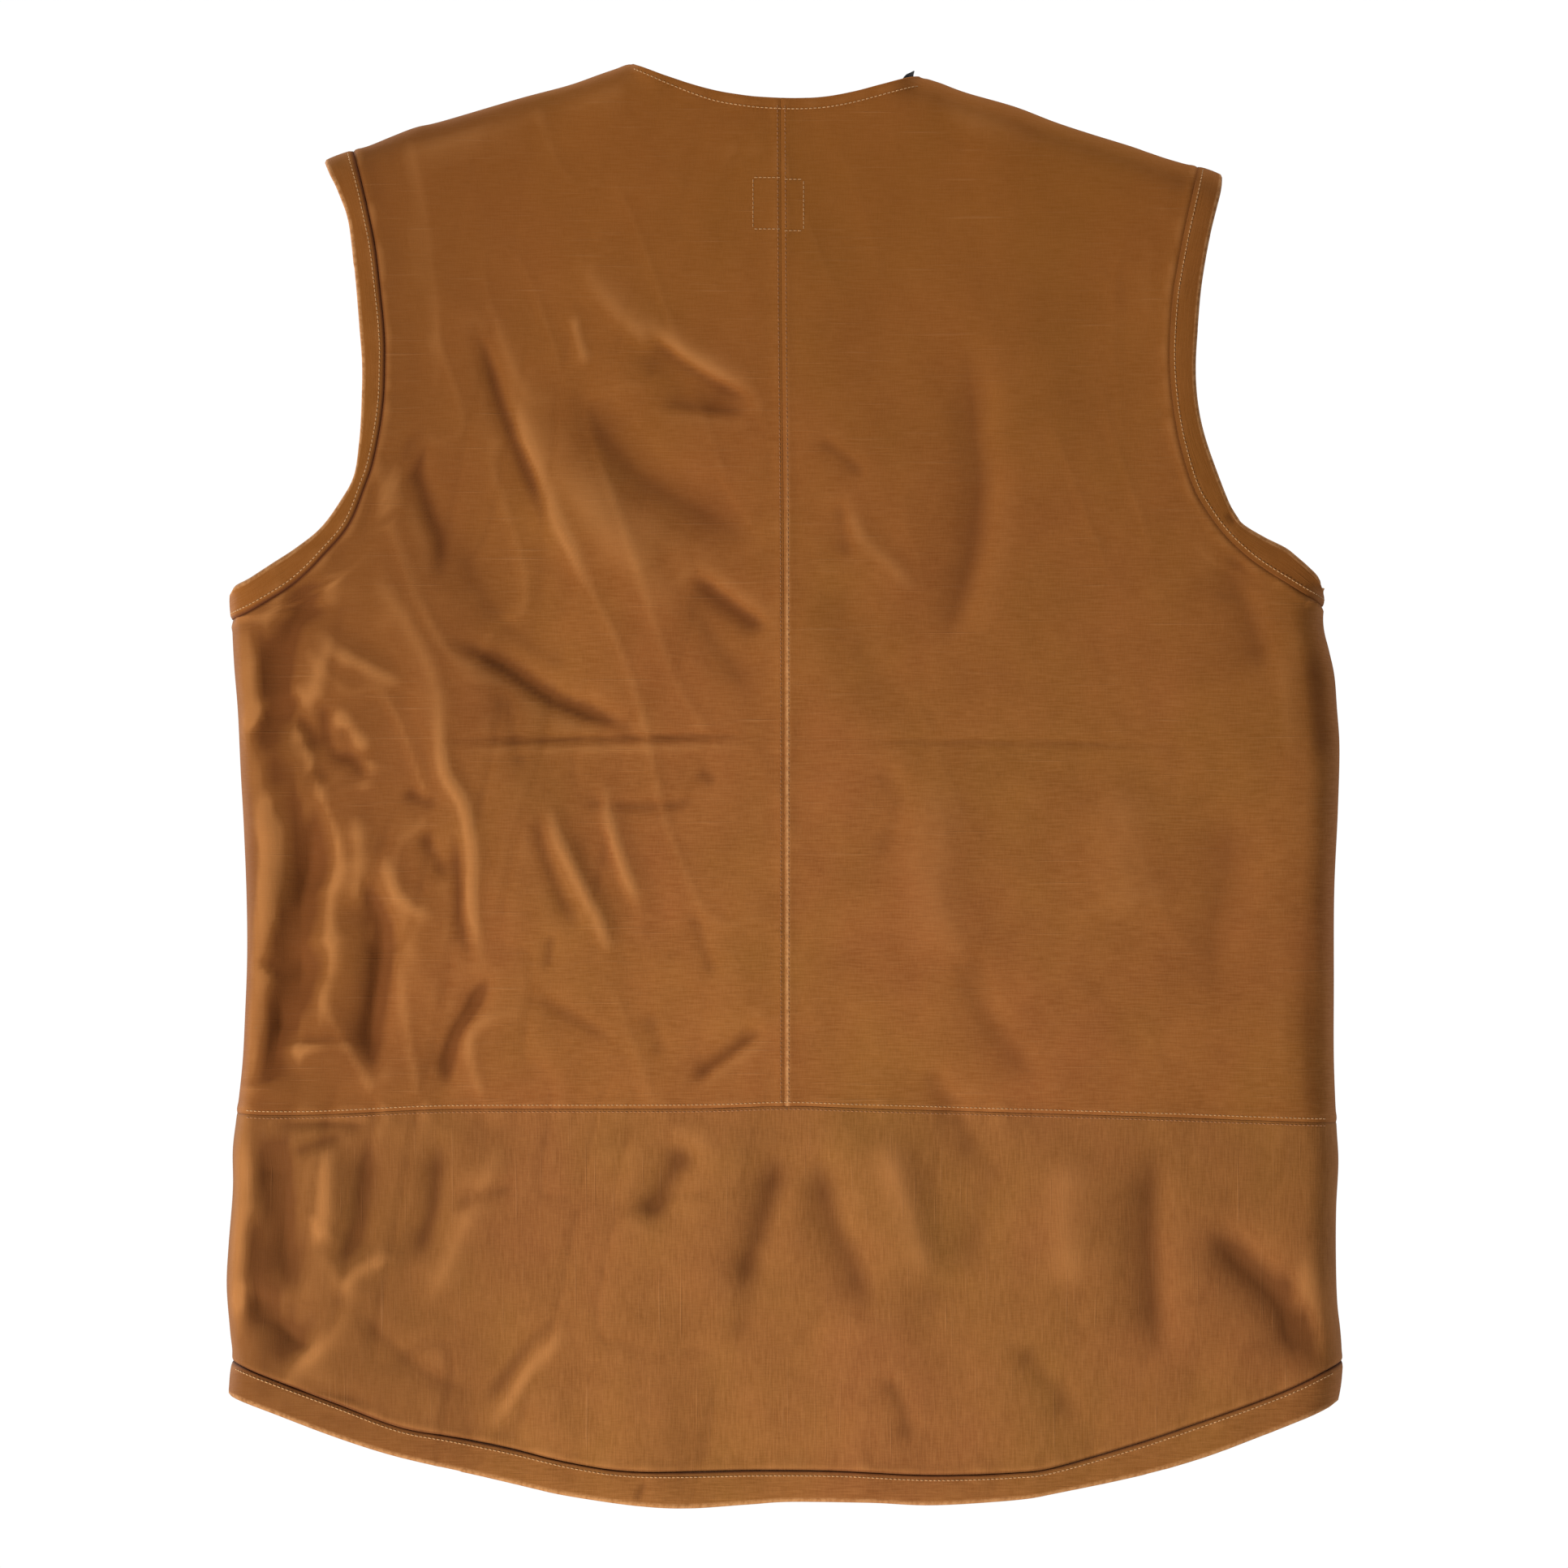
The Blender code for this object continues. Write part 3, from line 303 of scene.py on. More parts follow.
# creases of the back: line, height (a valley is negative), half width on its left and on its right side
CREASES = [
    (pts((580, 391), (601, 440), (618, 496), (636, 545), (660, 602), (681, 665)), -4.2, 9, 7),
    (pts((625, 470), (641, 517), (660, 574), (681, 633), (710, 686), (724, 738)), 2.4, 9, 9),
    (pts((706, 380), (712, 410), (727, 461)), 1.2, 4, 4),
    (pts((790, 400), (801, 419), (853, 458), (934, 503)), -2.6, 4, 15),
    (pts((800, 498), (940, 514)), -1.0, 10, 3),
    (pts((503, 517), (517, 581), (531, 630), (545, 672), (541, 738)), -2.4, 7, 6),
    (pts((696, 451), (727, 510), (783, 581), (836, 616), (888, 644), (955, 686)), -3.0, 17, 13),
    (pts((700, 560), (750, 640), (820, 700), (880, 760)), 2.0, 22, 22),
    (pts((846, 703), (888, 738), (955, 787)), -2.2, 5, 9),
    (pts((545, 780), (565, 793), (623, 822), (681, 860), (728, 880), (776, 899), (800, 908)), -4.2, 8, 6),
    (pts((393, 850), (400, 880), (413, 925), (440, 940), (456, 960), (456, 985)), -2.1, 4, 7),
    (pts((360, 880), (385, 900), (392, 930)), -1.6, 4, 6),
    (pts((400, 800), (440, 815), (508, 851)), 1.8, 5, 8),
    (pts((412, 868), (440, 905), (462, 930)), 1.4, 5, 5),
    (pts((743, 949), (748, 989), (762, 1049), (782, 1102), (795, 1125)), 2.2, 7, 4),
    (pts((675, 973), (689, 1029), (715, 1082), (742, 1135), (758, 1195)), 2.4, 4, 8),
    (pts((660, 975), (668, 1040), (694, 1110), (722, 1160)), -1.6, 8, 5),
    (pts((540, 850), (549, 943), (573, 989), (583, 1036), (584, 1115), (596, 1182), (604, 1195)), 3.0, 5, 7),
    (pts((560, 1010), (566, 1080), (572, 1150), (588, 1196)), -1.8, 5, 4),
    (pts((610, 1190), (583, 1241), (563, 1274), (553, 1314), (556, 1350)), -4.4, 6, 8),
    (pts((496, 973), (543, 996)), -1.2, 4, 4),
    (pts((516, 1016), (556, 1089)), -1.6, 6, 5),
    (pts((470, 1036), (493, 1102), (546, 1138)), 1.8, 6, 8),
    (pts((477, 1115), (470, 1182), (460, 1281), (467, 1331)), -4.2, 9, 10),
    (pts((950, 1262), (908, 1290), (870, 1318), (846, 1340)), -1.5, 3, 9),
    (pts((861, 946), (884, 969)), -0.9, 4, 4),
    (pts((699, 983), (742, 989), (800, 994), (881, 986)), -0.9, 4, 5),
    (pts((848, 1109), (878, 1195), (894, 1210)), -0.9, 6, 5),
    (pts((682, 1142), (675, 1198)), -0.9, 4, 4),
    (pts((642, 1221), (695, 1245), (765, 1288)), -1.0, 5, 6),
    (pts((798, 1238), (818, 1308)), -0.8, 6, 6),
    (pts((292, 896), (316, 903), (340, 882), (376, 855)), -5.4, 5, 10),
    (pts((421, 889), (438, 945)), -1.0, 5, 5),
    (pts((459, 931), (452, 980)), 1.2, 5, 5),
    (pts((386, 945), (410, 962)), -1.0, 4, 5),
    (pts((323, 934), (347, 952), (358, 990), (356, 1036)), -2.4, 6, 6),
    (pts((330, 960), (334, 1040), (322, 1120), (318, 1180)), 3.0, 9, 10),
    (pts((393, 969), (389, 1015), (386, 1067), (375, 1113), (365, 1159), (375, 1201), (354, 1246), (337, 1288), (354, 1324), (354, 1355)), -13.5, 13, 19),
    (pts((415, 985), (418, 1060), (408, 1120), (412, 1180), (398, 1240), (392, 1300)), 2.6, 9, 9),
    (pts((312, 1176), (361, 1208)), -2.4, 4, 5),
    (pts((430, 1062), (466, 1117), (477, 1166), (466, 1236), (461, 1271), (466, 1334)), -6.4, 9, 13),
    (pts((405, 707), (367, 768), (359, 791), (323, 877)), -7.0, 11, 10),
    (pts((420, 770), (395, 830), (385, 880)), 1.8, 9, 9),
    (pts((349, 1379), (345, 1436), (354, 1502), (358, 1600)), -8.0, 11, 13),
    (pts((332, 1432), (338, 1440), (352, 1446)), -2.6, 3.5, 3.5),
    (pts((358, 1423), (390, 1408), (433, 1396)), -1.8, 5, 5),
    (pts((455, 1383), (455, 1449), (442, 1524), (402, 1559)), -4.2, 10, 14),
    (pts((400, 1400), (404, 1480), (392, 1540)), 2.0, 10, 10),
    (pts((304, 1580), (345, 1625), (390, 1668)), -7.0, 15, 13),
    (pts((543, 1388), (540, 1440), (534, 1493), (508, 1564)), -3.2, 10, 10),
    (pts((706, 1625), (653, 1687), (604, 1766)), 1.8, 6, 7),
    (pts((690, 1610), (640, 1672), (590, 1740)), -1.3, 7, 6),
    (pts((560, 1498), (578, 1476), (648, 1458)), -1.2, 6, 6),
    (pts((855, 1396), (830, 1440), (789, 1515)), -2.8, 11, 11),
    (pts((930, 1530), (920, 1600), (908, 1670)), -0.9, 9, 9),
    (pts((1470, 1500), (1528, 1553), (1575, 1600), (1596, 1645), (1600, 1700)), -4.8, 12, 13),
    (pts((1004, 1400), (1018, 1480), (1050, 1560), (1075, 1640)), -3.0, 12, 14),
    (pts((1230, 1390), (1210, 1480), (1190, 1580)), -1.3, 14, 14),
    (pts((1423, 1380), (1412, 1480), (1414, 1570), (1426, 1700)), -3.0, 11, 14),
    (pts((1186, 390), (1192, 450), (1200, 540), (1205, 600), (1195, 680), (1170, 770), (1150, 830)), -2.6, 11, 14),
    (pts((1000, 538), (1040, 566), (1072, 596)), -1.1, 5, 6),
    (pts((1035, 600), (1060, 660), (1100, 700), (1140, 740)), 1.2, 7, 8),
    (pts((1035, 610), (1040, 660), (1046, 700)), -1.1, 6, 8),
    (pts((1060, 930), (1104, 990), (1070, 1075)), -0.9, 10, 10),
    (pts((1190, 1150), (1200, 1220), (1240, 1290), (1290, 1350)), -1.5, 12, 12),
    (pts((1130, 1300), (1180, 1380), (1210, 1450)), -1.2, 9, 9),
    (pts((1495, 680), (1535, 760), (1560, 850)), -1.4, 10, 12),
    (pts((1620, 780), (1632, 860), (1640, 960)), -2.0, 10, 9),
    (pts((1080, 1680), (1110, 1730), (1120, 1790)), -1.5, 8, 8),
    (pts((1240, 1640), (1290, 1700), (1330, 1760)), -1.2, 10, 10),
    (pts((430, 1590), (470, 1640), (530, 1690), (600, 1720)), -1.5, 8, 8),
    (pts((330, 1700), (400, 1712), (470, 1728)), -1.4, 5, 5),
    (pts((300, 760), (330, 800), (345, 860), (330, 930)), -3.0, 9, 9),
    (pts((300, 1010), (305, 1080), (300, 1150)), -3.0, 7, 7),
    (pts((440, 990), (445, 1060), (438, 1130)), 2.2, 8, 8),
    (pts((340, 1385), (400, 1382), (470, 1386)), -2.0, 3, 7),
    (pts((305, 1480), (312, 1560), (305, 1640)), -3.5, 9, 9),
    (pts((410, 1600), (450, 1560), (500, 1540)), 1.8, 8, 8),
    (pts((960, 1400), (950, 1460), (925, 1540), (900, 1600)), -2.6, 10, 12),
    (pts((1075, 1385), (1105, 1450), (1130, 1530), (1150, 1600)), 2.2, 12, 12),
    (pts((620, 1385), (600, 1450), (560, 1540), (520, 1620)), 2.0, 14, 14),
    (pts((1320, 1400), (1310, 1500), (1325, 1600)), 2.0, 16, 16),
    (pts((1500, 960), (1510, 1060), (1490, 1160), (1510, 1260)), -2.0, 18, 18),
    (pts((1400, 940), (1380, 1040), (1400, 1160)), 1.6, 20, 20),
    (pts((1130, 930), (1160, 1010), (1150, 1110), (1180, 1200)), 1.6, 18, 18),
    (pts((700, 300), (760, 380), (830, 440), (900, 480), (955, 500)), 1.6, 16, 8),
    (pts((560, 330), (600, 420), (650, 520), (720, 620), (800, 700), (900, 770)), 1.5, 22, 14),
    (pts((520, 560), (560, 650), (600, 740), (660, 800), (760, 850)), -1.6, 14, 20),
    (pts((780, 640), (850, 740), (910, 830), (955, 880)), -1.6, 16, 10),
    (pts((450, 700), (500, 760), (540, 850), (548, 930)), 1.8, 10, 16),
    (pts((620, 830), (640, 930), (668, 960)), -1.5, 8, 14),
    (pts((1000, 700), (1060, 800), (1100, 900)), -1.2, 18, 14),
    # the horizontal fold line of a folded garment
    (pts((520, 915), (700, 912), (791, 910), (880, 909), (962, 910)), -1.15, 2.2, 3.4),
    (pts((520, 923), (700, 921), (791, 920), (880, 919), (962, 920)), 0.8, 2.5, 2.8),
    (pts((972, 912), (1100, 914), (1300, 916), (1500, 922)), -0.6, 2.2, 3.2),
]
# seams and marks that cross the bands
BAND_CREASES = [
    (pts((1507, 632), (1511, 637), (1522, 648)), -1.0, 1.6, 1.6),
    (pts((800, 1817), (792, 1830), (783, 1847)), -0.9, 1.4, 1.4),
]


def crease_sum(creases, x, z):
    h = np.zeros(len(x))
    for line, height, wide_left, wide_right in creases:
        curve = smooth(line, 5) if len(line) > 2 else np.array(line)
        pick, d, turn, share, _ = near(curve, x, z, 4.2 * max(wide_left, wide_right))
        if not len(pick):
            continue
        wide = np.where(turn > 0, wide_left, wide_right)
        ends = ramp(share, 0.0, 0.30) * (1 - ramp(share, 0.70, 1.0))
        ends = np.where((share <= 0) | (share >= 1), 0, ends)
        q = d / wide
        sharp = 0.7 if curve[:, 0].mean() < -120 or max(wide_left, wide_right) < 9 else 0.25
        h[pick] += (1.15 + 0.45 * (0.7 - sharp)) * height * ends * ((1 - sharp) * np.exp(-0.9 * q * q) + sharp * np.exp(-0.95 * q))
    return h


def relief(x, z, face, bands=False):
    """How far the cloth stands out from the smooth shell, in mm."""
    if face < 0:
        left = (1 - ramp(x, -150, 40)) * (0.2 + 0.8 * ramp(-z, 90, 330))
        tail = 1 - ramp(z, -575, -545)
        along, across = -0.94 * z + 0.34 * x, 0.94 * x + 0.34 * z
        steep, side_on = -z, x
        h = noise2(x, z * 0.8, 120, 1) * (2.4 + 1.0 * left)
        h += noise2(across, along * 0.4, 50, 2) * (1.3 + 1.2 * left) * (1 - tail) + noise2(side_on, steep * 0.36, 42, 6) * (2.1 + 1.3 * left) * tail
        sharp = (1 - np.abs(noise2(across, along * 0.3, 30, 3))) ** 5
        h += (sharp - 0.2) * (0.25 + 0.75 * left) * (1 - tail)
        sharp = (1 - np.abs(noise2(side_on + 0.2 * steep, steep * 0.33, 24, 4))) ** 5
        h -= (sharp - 0.2) * (0.08 + 0.45 * left + 0.2 * tail)
        h += noise2(x, z * 0.8, 9, 5) * (0.03 + 0.05 * left)
        h += crease_sum(CREASES, x, z)
        if bands:
            h = h * 0.7 + crease_sum(BAND_CREASES, x, z)
    else:
        h = noise2(x, z * 0.35, 85, 21) * 2.2 + noise2(x + 0.2 * z, z * 0.35, 40, 22) * 1.7
        sharp = (1 - np.abs(noise2(x + z * 0.22, z * 0.2, 34, 23))) ** 3
        h += (sharp - 0.3) * 1.1 + noise2(x, z * 0.8, 9, 24) * 0.06 - 1.2
        for s, way in SIDES.items():
            for line in (v_edge[s].p, np.array([v_edge[s].p[-1], (way * PANEL_EDGE[s], -720)])):
                pick, d, _, _, _ = near(line, x, z, 60)
                h[pick] *= ramp(d, 22, 58)
            for p in (CHEST, LOWER):
                inside = ramp(way * x, p["x0"] - 26, p["x0"] - 4) * (1 - ramp(way * x, p["x1"] + 4, p["x1"] + 26))
                inside = inside * ramp(z, p["bottom"] - 26, p["bottom"] - 4) * (1 - ramp(z, p["top"] + p["rise"] + 4, p["top"] + p["rise"] + 26))
                h = h * (1 - inside)
    return h


def seam_shape(x, z, seams):
    """The groove and swell of the cloth along its seams: (polyline, groove depth, swell height, pucker, painted shade
    in the groove).
    """
    h = np.zeros(len(x))
    dark = np.zeros(len(x))
    for line, groove, swell, pucker, seam_groove_shade in seams:
        pick, d, _, share, _ = near(line, x, z, 16)
        if not len(pick):
            continue
        run = share * Path(line).length
        wave = noise2(run, d * 0, 11, 31) + 0.6 * noise2(run, d * 0, 5.5, 32)
        h[pick] += -groove * np.exp(-(d / 0.9) ** 2) + swell * np.exp(-((d - 2.6) / 2.4) ** 2)
        h[pick] += pucker * wave * np.exp(-((d - 3.5) / 4.5) ** 2)
        dark[pick] = np.maximum(dark[pick], seam_groove_shade * np.exp(-(d / 0.95) ** 2))
    return h, dark


# each seam's last value is the painted shadow that darkens its groove
SEAMS = {"back": [(centre.p, 0.14, 0.32, 0.14, 0.0), (waist.p, 0.2, 0.35, 0.3, 0.08), (neck.p, 0.1, 0.25, 0.2, 0.0)],
         "tail": [(waist.p, 0.2, 0.05, 0.3, 0.16), (hem_seam.p, 0.8, 0.3, 0.3, 0.85)],
         "front": [], "band_back": [], "band_front": [], "hem_back": [(hem_seam.p, 0.6, 0.1, 0.2, 0.85)], "hem_front": []}
for s, way in SIDES.items():
    # painted shadow in the armhole seam groove: strong on the left, faint on the right
    seam_groove_shade = 0.95 if s == "left" else 0.30
    deep = 0.8 if s == "left" else 0.25
    SEAMS["back"].append((band_seam["back", s].p, deep, 0.4, 0.3, seam_groove_shade))
    SEAMS["band_back"].append((band_seam["back", s].p, deep * 0.7, 0.1, 0.2, seam_groove_shade))
    SEAMS["front"].append((band_seam["front", s].p, 0.9, 0.45, 0.3, 0.5))
    SEAMS["band_front"].append((band_seam["front", s].p, 0.6, 0.1, 0.2, 0.5))
    SEAMS["front"] += [(v_edge[s].p, 0.1, 0.25, 0.16, 0.0), (np.array([v_edge[s].p[-1], (way * PANEL_EDGE[s], HEM_FRONT)]), 0.1, 0.25, 0.16, 0.0)]
    line = np.array([(way * 312, HEM_SEAM_FRONT), (way * PANEL_EDGE[s], HEM_SEAM_FRONT)])
    SEAMS["front"].append((line, 0.8, 0.3, 0.25, 0.7))
    SEAMS["hem_front"].append((line, 0.6, 0.1, 0.2, 0.7))


def skin(x, z, zone, extra=0.0):
    """The cloth's outer surface for a zone: points, normals and the painted shade in its seam grooves."""
    face = 1 if "front" in zone else -1
    x, z = np.atleast_1d(np.asarray(x, float)), np.atleast_1d(np.asarray(z, float))
    shape = x.shape
    xf, zf = x.ravel(), z.ravel()
    d, _, _ = fold_distance(xf, zf)
    bands = "band" in zone or "hem" in zone
    h = relief(xf, zf, face, bands) * ramp(d, 0.5, 16)
    g, dark = seam_shape(xf, zf, SEAMS[zone])
    h = h + g + (0.45 if bands else 0.0) + extra
    p, n, _ = shell(xf, zf, face, h)
    return p.reshape(*shape, 3), n.reshape(*shape, 3), dark.reshape(shape), h.reshape(shape)


# ---------------------------------------------------------------- grids
OUT = [ROUND * (1 - (1 - (y / DEPTH) ** 3) ** (1 / 3)) for y in (0, 7, 12, 16, 20, 24, 27, 30, 32, 33.5, 34.5)] + [ROUND]
FINE = [0, 0.5, 1.1, 1.8, 2.6, 3.5, 4.6, 6.2]


def spread(a, b, pitch):
    """Steps from a to b, without a."""
    n = max(1, int(round(abs(b - a) / pitch)))
    return list(np.linspace(a, b, n + 1)[1:])


def coons(bottom, top, left, right, rows_left, rows_right, columns):
    """A grid of (x, z) between four border paths, row by row."""
    c0, c1, c2, c3 = bottom.at(0), bottom.at(bottom.length), top.at(0), top.at(top.length)
    out = []
    for a, b in zip(rows_left, rows_right):
        pa, pb = left.at(a), right.at(b)
        v = 0.5 * (a / left.length + b / right.length)
        u = np.array(columns(v, hypot(*(pb - pa))))
        w = u[:, None]
        p = (1 - v) * bottom.at(u * bottom.length) + v * top.at(u * top.length) + (1 - w) * pa + w * pb
        p -= (1 - v) * ((1 - w) * c0 + w * c1) + v * ((1 - w) * c2 + w * c3)
        out.append(p)
    return np.array(out)


def make_object(name, verts, quads, mat, uv=None, marks=None, tris=None):
    mesh = bpy.data.meshes.new(name)
    faces = [tuple(q) for q in quads] if len(quads) < 200 or tris else None
    if faces is not None or tris:
        mesh.from_pydata((np.asarray(verts) * 0.001).tolist(), [], (faces or []) + (tris or []))
    else:
        q = np.asarray(quads, np.int32)
        mesh.vertices.add(len(verts))
        mesh.vertices.foreach_set("co", (np.asarray(verts, float) * 0.001).astype(np.float32).ravel())
        mesh.loops.add(q.size)
        mesh.loops.foreach_set("vertex_index", q.ravel())
        mesh.polygons.add(len(q))
        mesh.polygons.foreach_set("loop_start", np.arange(0, q.size, 4, dtype=np.int32))
        mesh.update(calc_edges=True)
    mesh.validate()
    index = np.zeros(len(mesh.loops), np.int32)
    mesh.loops.foreach_get("vertex_index", index)
    if uv is not None:
        layer = mesh.uv_layers.new(name="grain")
        layer.data.foreach_set("uv", np.asarray(uv, float)[index].astype(np.float32).ravel())
    if marks is not None:
        attr = mesh.attributes.new("marks", "FLOAT_COLOR", "POINT")
        rgba = np.ones((len(mesh.vertices), 4), np.float32)
        rgba[:, :3] = marks
        attr.data.foreach_set("color", rgba.ravel())
    mesh.materials.append(mat)
    mesh.shade_smooth()
    obj = bpy.data.objects.new(name, mesh)
    scene.collection.objects.link(obj)
    return obj


def unit(v):
    return v / np.maximum(np.linalg.norm(v, axis=-1, keepdims=True), 1e-9)


def grid_faces(P, outward, ring=False):
    """Normals of a grid and whether its faces have to be turned round."""
    if ring:
        dr = np.roll(P, -1, 0) - np.roll(P, 1, 0)
    else:
        dr = np.gradient(P, axis=0)
    dc = np.gradient(P, axis=1)
    n = unit(np.cross(dc, dr))
    flip = (n * outward).sum() < 0
    return (-n if flip else n), unit(dr), unit(dc), flip


def cloth(name, P, thick, mat, outward=(0, -1, 0), ring=False, roll=(0.4, 0.4, 0.4, 0.4), uv=None, marks=None):
    """A piece of cloth: the grid P is its outer surface, with rounded rims. roll is the roundness at the first row, last
    row, first column and last column."""
    R, C = P.shape[:2]
    if ring:
        outward = np.stack([P[..., 0] * 0, np.sign(P[..., 1]), P[..., 0] * 0], -1)
    n, tr, tc, flip = grid_faces(P, np.asarray(outward, float), ring)
    inner = P - n * thick
    idx = np.arange(R * C).reshape(R, C)
    if ring:
        nxt = np.roll(idx, -1, 0)
        a, b, c, d = idx[:, :-1], idx[:, 1:], nxt[:, 1:], nxt[:, :-1]
        loops = [(idx[:, 0][::-1], -tc[:, 0][::-1], np.full(R, roll[2])), (idx[:, -1], tc[:, -1], np.full(R, roll[3]))]
    else:
        a, b, c, d = idx[:-1, :-1], idx[:-1, 1:], idx[1:, 1:], idx[1:, :-1]
        order = np.concatenate([idx[0, :-1], idx[:-1, -1], idx[-1, :0:-1], idx[:0:-1, 0]])
        outw = np.zeros((R, C, 3))
        size = np.zeros((R, C))
        for where, t, r in (((0, slice(None)), -tr[0], roll[0]), ((-1, slice(None)), tr[-1], roll[1]),
                            ((slice(None), 0), -tc[:, 0], roll[2]), ((slice(None), -1), tc[:, -1], roll[3])):
            outw[where] += t * r
            size[where] = np.maximum(size[where], r)
        flatw = unit(outw.reshape(-1, 3))
        loops = [(order, flatw[order], size.ravel()[order])]
    quads = [np.stack([a, b, c, d], -1).reshape(-1, 4)]
    quads.append(quads[0][:, ::-1] + R * C)
    verts = [P.reshape(-1, 3), inner.reshape(-1, 3)]
    source = [np.arange(R * C), np.arange(R * C)]
    base = 2 * R * C
    flat_p, flat_i = P.reshape(-1, 3), inner.reshape(-1, 3)
    for order, t, r in loops:
        L = len(order)
        mid = (flat_p[order] + flat_i[order]) / 2 + t * (r * thick)[:, None]
        o, o2 = order, np.roll(order, -1)
        m, m2 = base + np.arange(L), base + np.roll(np.arange(L), -1)
        i1, i2 = order + R * C, np.roll(order, -1) + R * C
        quads.append(np.stack([o2, o, m, m2], -1))
        quads.append(np.stack([m2, m, i1, i2], -1))
        verts.append(mid)
        source.append(order)
        base += L
    quads = np.concatenate(quads)
    if flip:
        quads = quads[:, ::-1]
    source = np.concatenate(source)
    return make_object(name, np.concatenate(verts), quads, mat,
                       None if uv is None else np.asarray(uv).reshape(-1, 2)[source],
                       None if marks is None else np.asarray(marks).reshape(-1, 3)[source])


def tone_of(H, pitch=2.5):
    """Valleys and ridges of the cloth, from -1 to 1, from the heights of a grid."""
    def blur(a, k):
        for _ in range(k):
            a = np.pad(a, 1, mode="edge")
            a = (a[:-2, 1:-1] + a[2:, 1:-1] + a[1:-1, :-2] + a[1:-1, 2:] + 2 * a[1:-1, 1:-1]) / 6
        return a
    return np.clip((blur(H, 1) - blur(H, 7)) * 1.4, -1, 1)


def marks_of(H, dark, edge=None, deep=None):
    tone = tone_of(H) + (0 if deep is None else deep)
    tone = np.clip(tone, -1, 1)
    m = np.zeros(H.shape + (3,))
    m[..., 0] = np.clip(dark, 0, 1)
    m[..., 1] = 0.5 + 0.5 * tone
    m[..., 2] = 0 if edge is None else edge
    return m


def panel(name, grid, zone, mat, thick=CLOTH, roll=(0.4,) * 4, edge=None, tuck=()):
    x, z = grid[..., 0], grid[..., 1]
    P, N, dark, H = skin(x, z, zone)
    for where, way, far in tuck:      # a border that runs on under the band sewn over it
        step = unit(P[where] - P[way]) * far
        P[where] = P[where] + step - N[where] * 0.9
    u, v = flat_place(x, z)
    uv = np.stack([u, v], -1) * 0.001
    face = 1 if "front" in zone else -1
    # crease depth sent to the tone mark: painted shade in the deep creases, lighter paint on crease ridges
    deep = crease_sum(CREASES, x.ravel(), z.ravel()).reshape(x.shape) / 12.0 if face < 0 else None
    return cloth(name, P, thick, mat, (0, face, 0), roll=roll, uv=uv, marks=marks_of(H, dark, edge, deep))


# ---------------------------------------------------------------- materials
def nodes_of(name):
    m = bpy.data.materials.new(name)
    m.use_nodes = True
    t = m.node_tree
    return m, t, t.nodes["Principled BSDF"]


class Tree:
    """Short names for making shader nodes."""

    def __init__(self, tree):
        self.t = tree

    def node(self, kind, **kw):
        n = self.t.nodes.new(kind)
        for k, v in kw.items():
            setattr(n, k, v)
        return n

    def put(self, socket, value):
        if isinstance(value, bpy.types.NodeSocket):
            self.t.links.new(value, socket)
        else:
            socket.default_value = value

    def math(self, op, a, b=0.0, c=None, clamp=False):
        n = self.node("ShaderNodeMath", operation=op, use_clamp=clamp)
        self.put(n.inputs[0], a)
        self.put(n.inputs[1], b)
        if c is not None:
            self.put(n.inputs[2], c)
        return n.outputs[0]

    def noise(self, vector, scale=1.0, detail=2.0, rough=0.5, w=None):
        n = self.node("ShaderNodeTexNoise")
        if w is not None:
            n.noise_dimensions = "4D"
            n.inputs["W"].default_value = w
        self.put(n.inputs["Vector"], vector)
        n.inputs["Scale"].default_value = scale
        n.inputs["Detail"].default_value = detail
        n.inputs["Roughness"].default_value = rough
        return n.outputs["Fac"]

    def scaled(self, vector, x, y, z=1.0, turn=0.0, at=(0, 0, 0)):
        n = self.node("ShaderNodeMapping")
        self.put(n.inputs["Vector"], vector)
        n.inputs["Scale"].default_value = (x, y, z)
        n.inputs["Rotation"].default_value = (0, 0, turn)
        n.inputs["Location"].default_value = at
        return n.outputs[0]

    def span(self, value, a, b, c, d):
        n = self.node("ShaderNodeMapRange")
        n.clamp = True
        self.put(n.inputs["Value"], value)
        for k, v in zip(("From Min", "From Max", "To Min", "To Max"), (a, b, c, d)):
            n.inputs[k].default_value = v
        return n.outputs["Result"]

    def mix(self, fac, a, b, how="MIX"):
        n = self.node("ShaderNodeMix", data_type="RGBA", blend_type=how)
        self.put(n.inputs["Factor"], fac)
        self.put(n.inputs["A"], a if isinstance(a, bpy.types.NodeSocket) else (*a, 1.0))
        self.put(n.inputs["B"], b if isinstance(b, bpy.types.NodeSocket) else (*b, 1.0))
        return n.outputs["Result"]

    def bump(self, height, distance, strength, normal=None):
        n = self.node("ShaderNodeBump")
        n.inputs["Strength"].default_value = strength
        n.inputs["Distance"].default_value = distance
        self.put(n.inputs["Height"], height)
        if normal is not None:
            self.put(n.inputs["Normal"], normal)
        return n.outputs["Normal"]


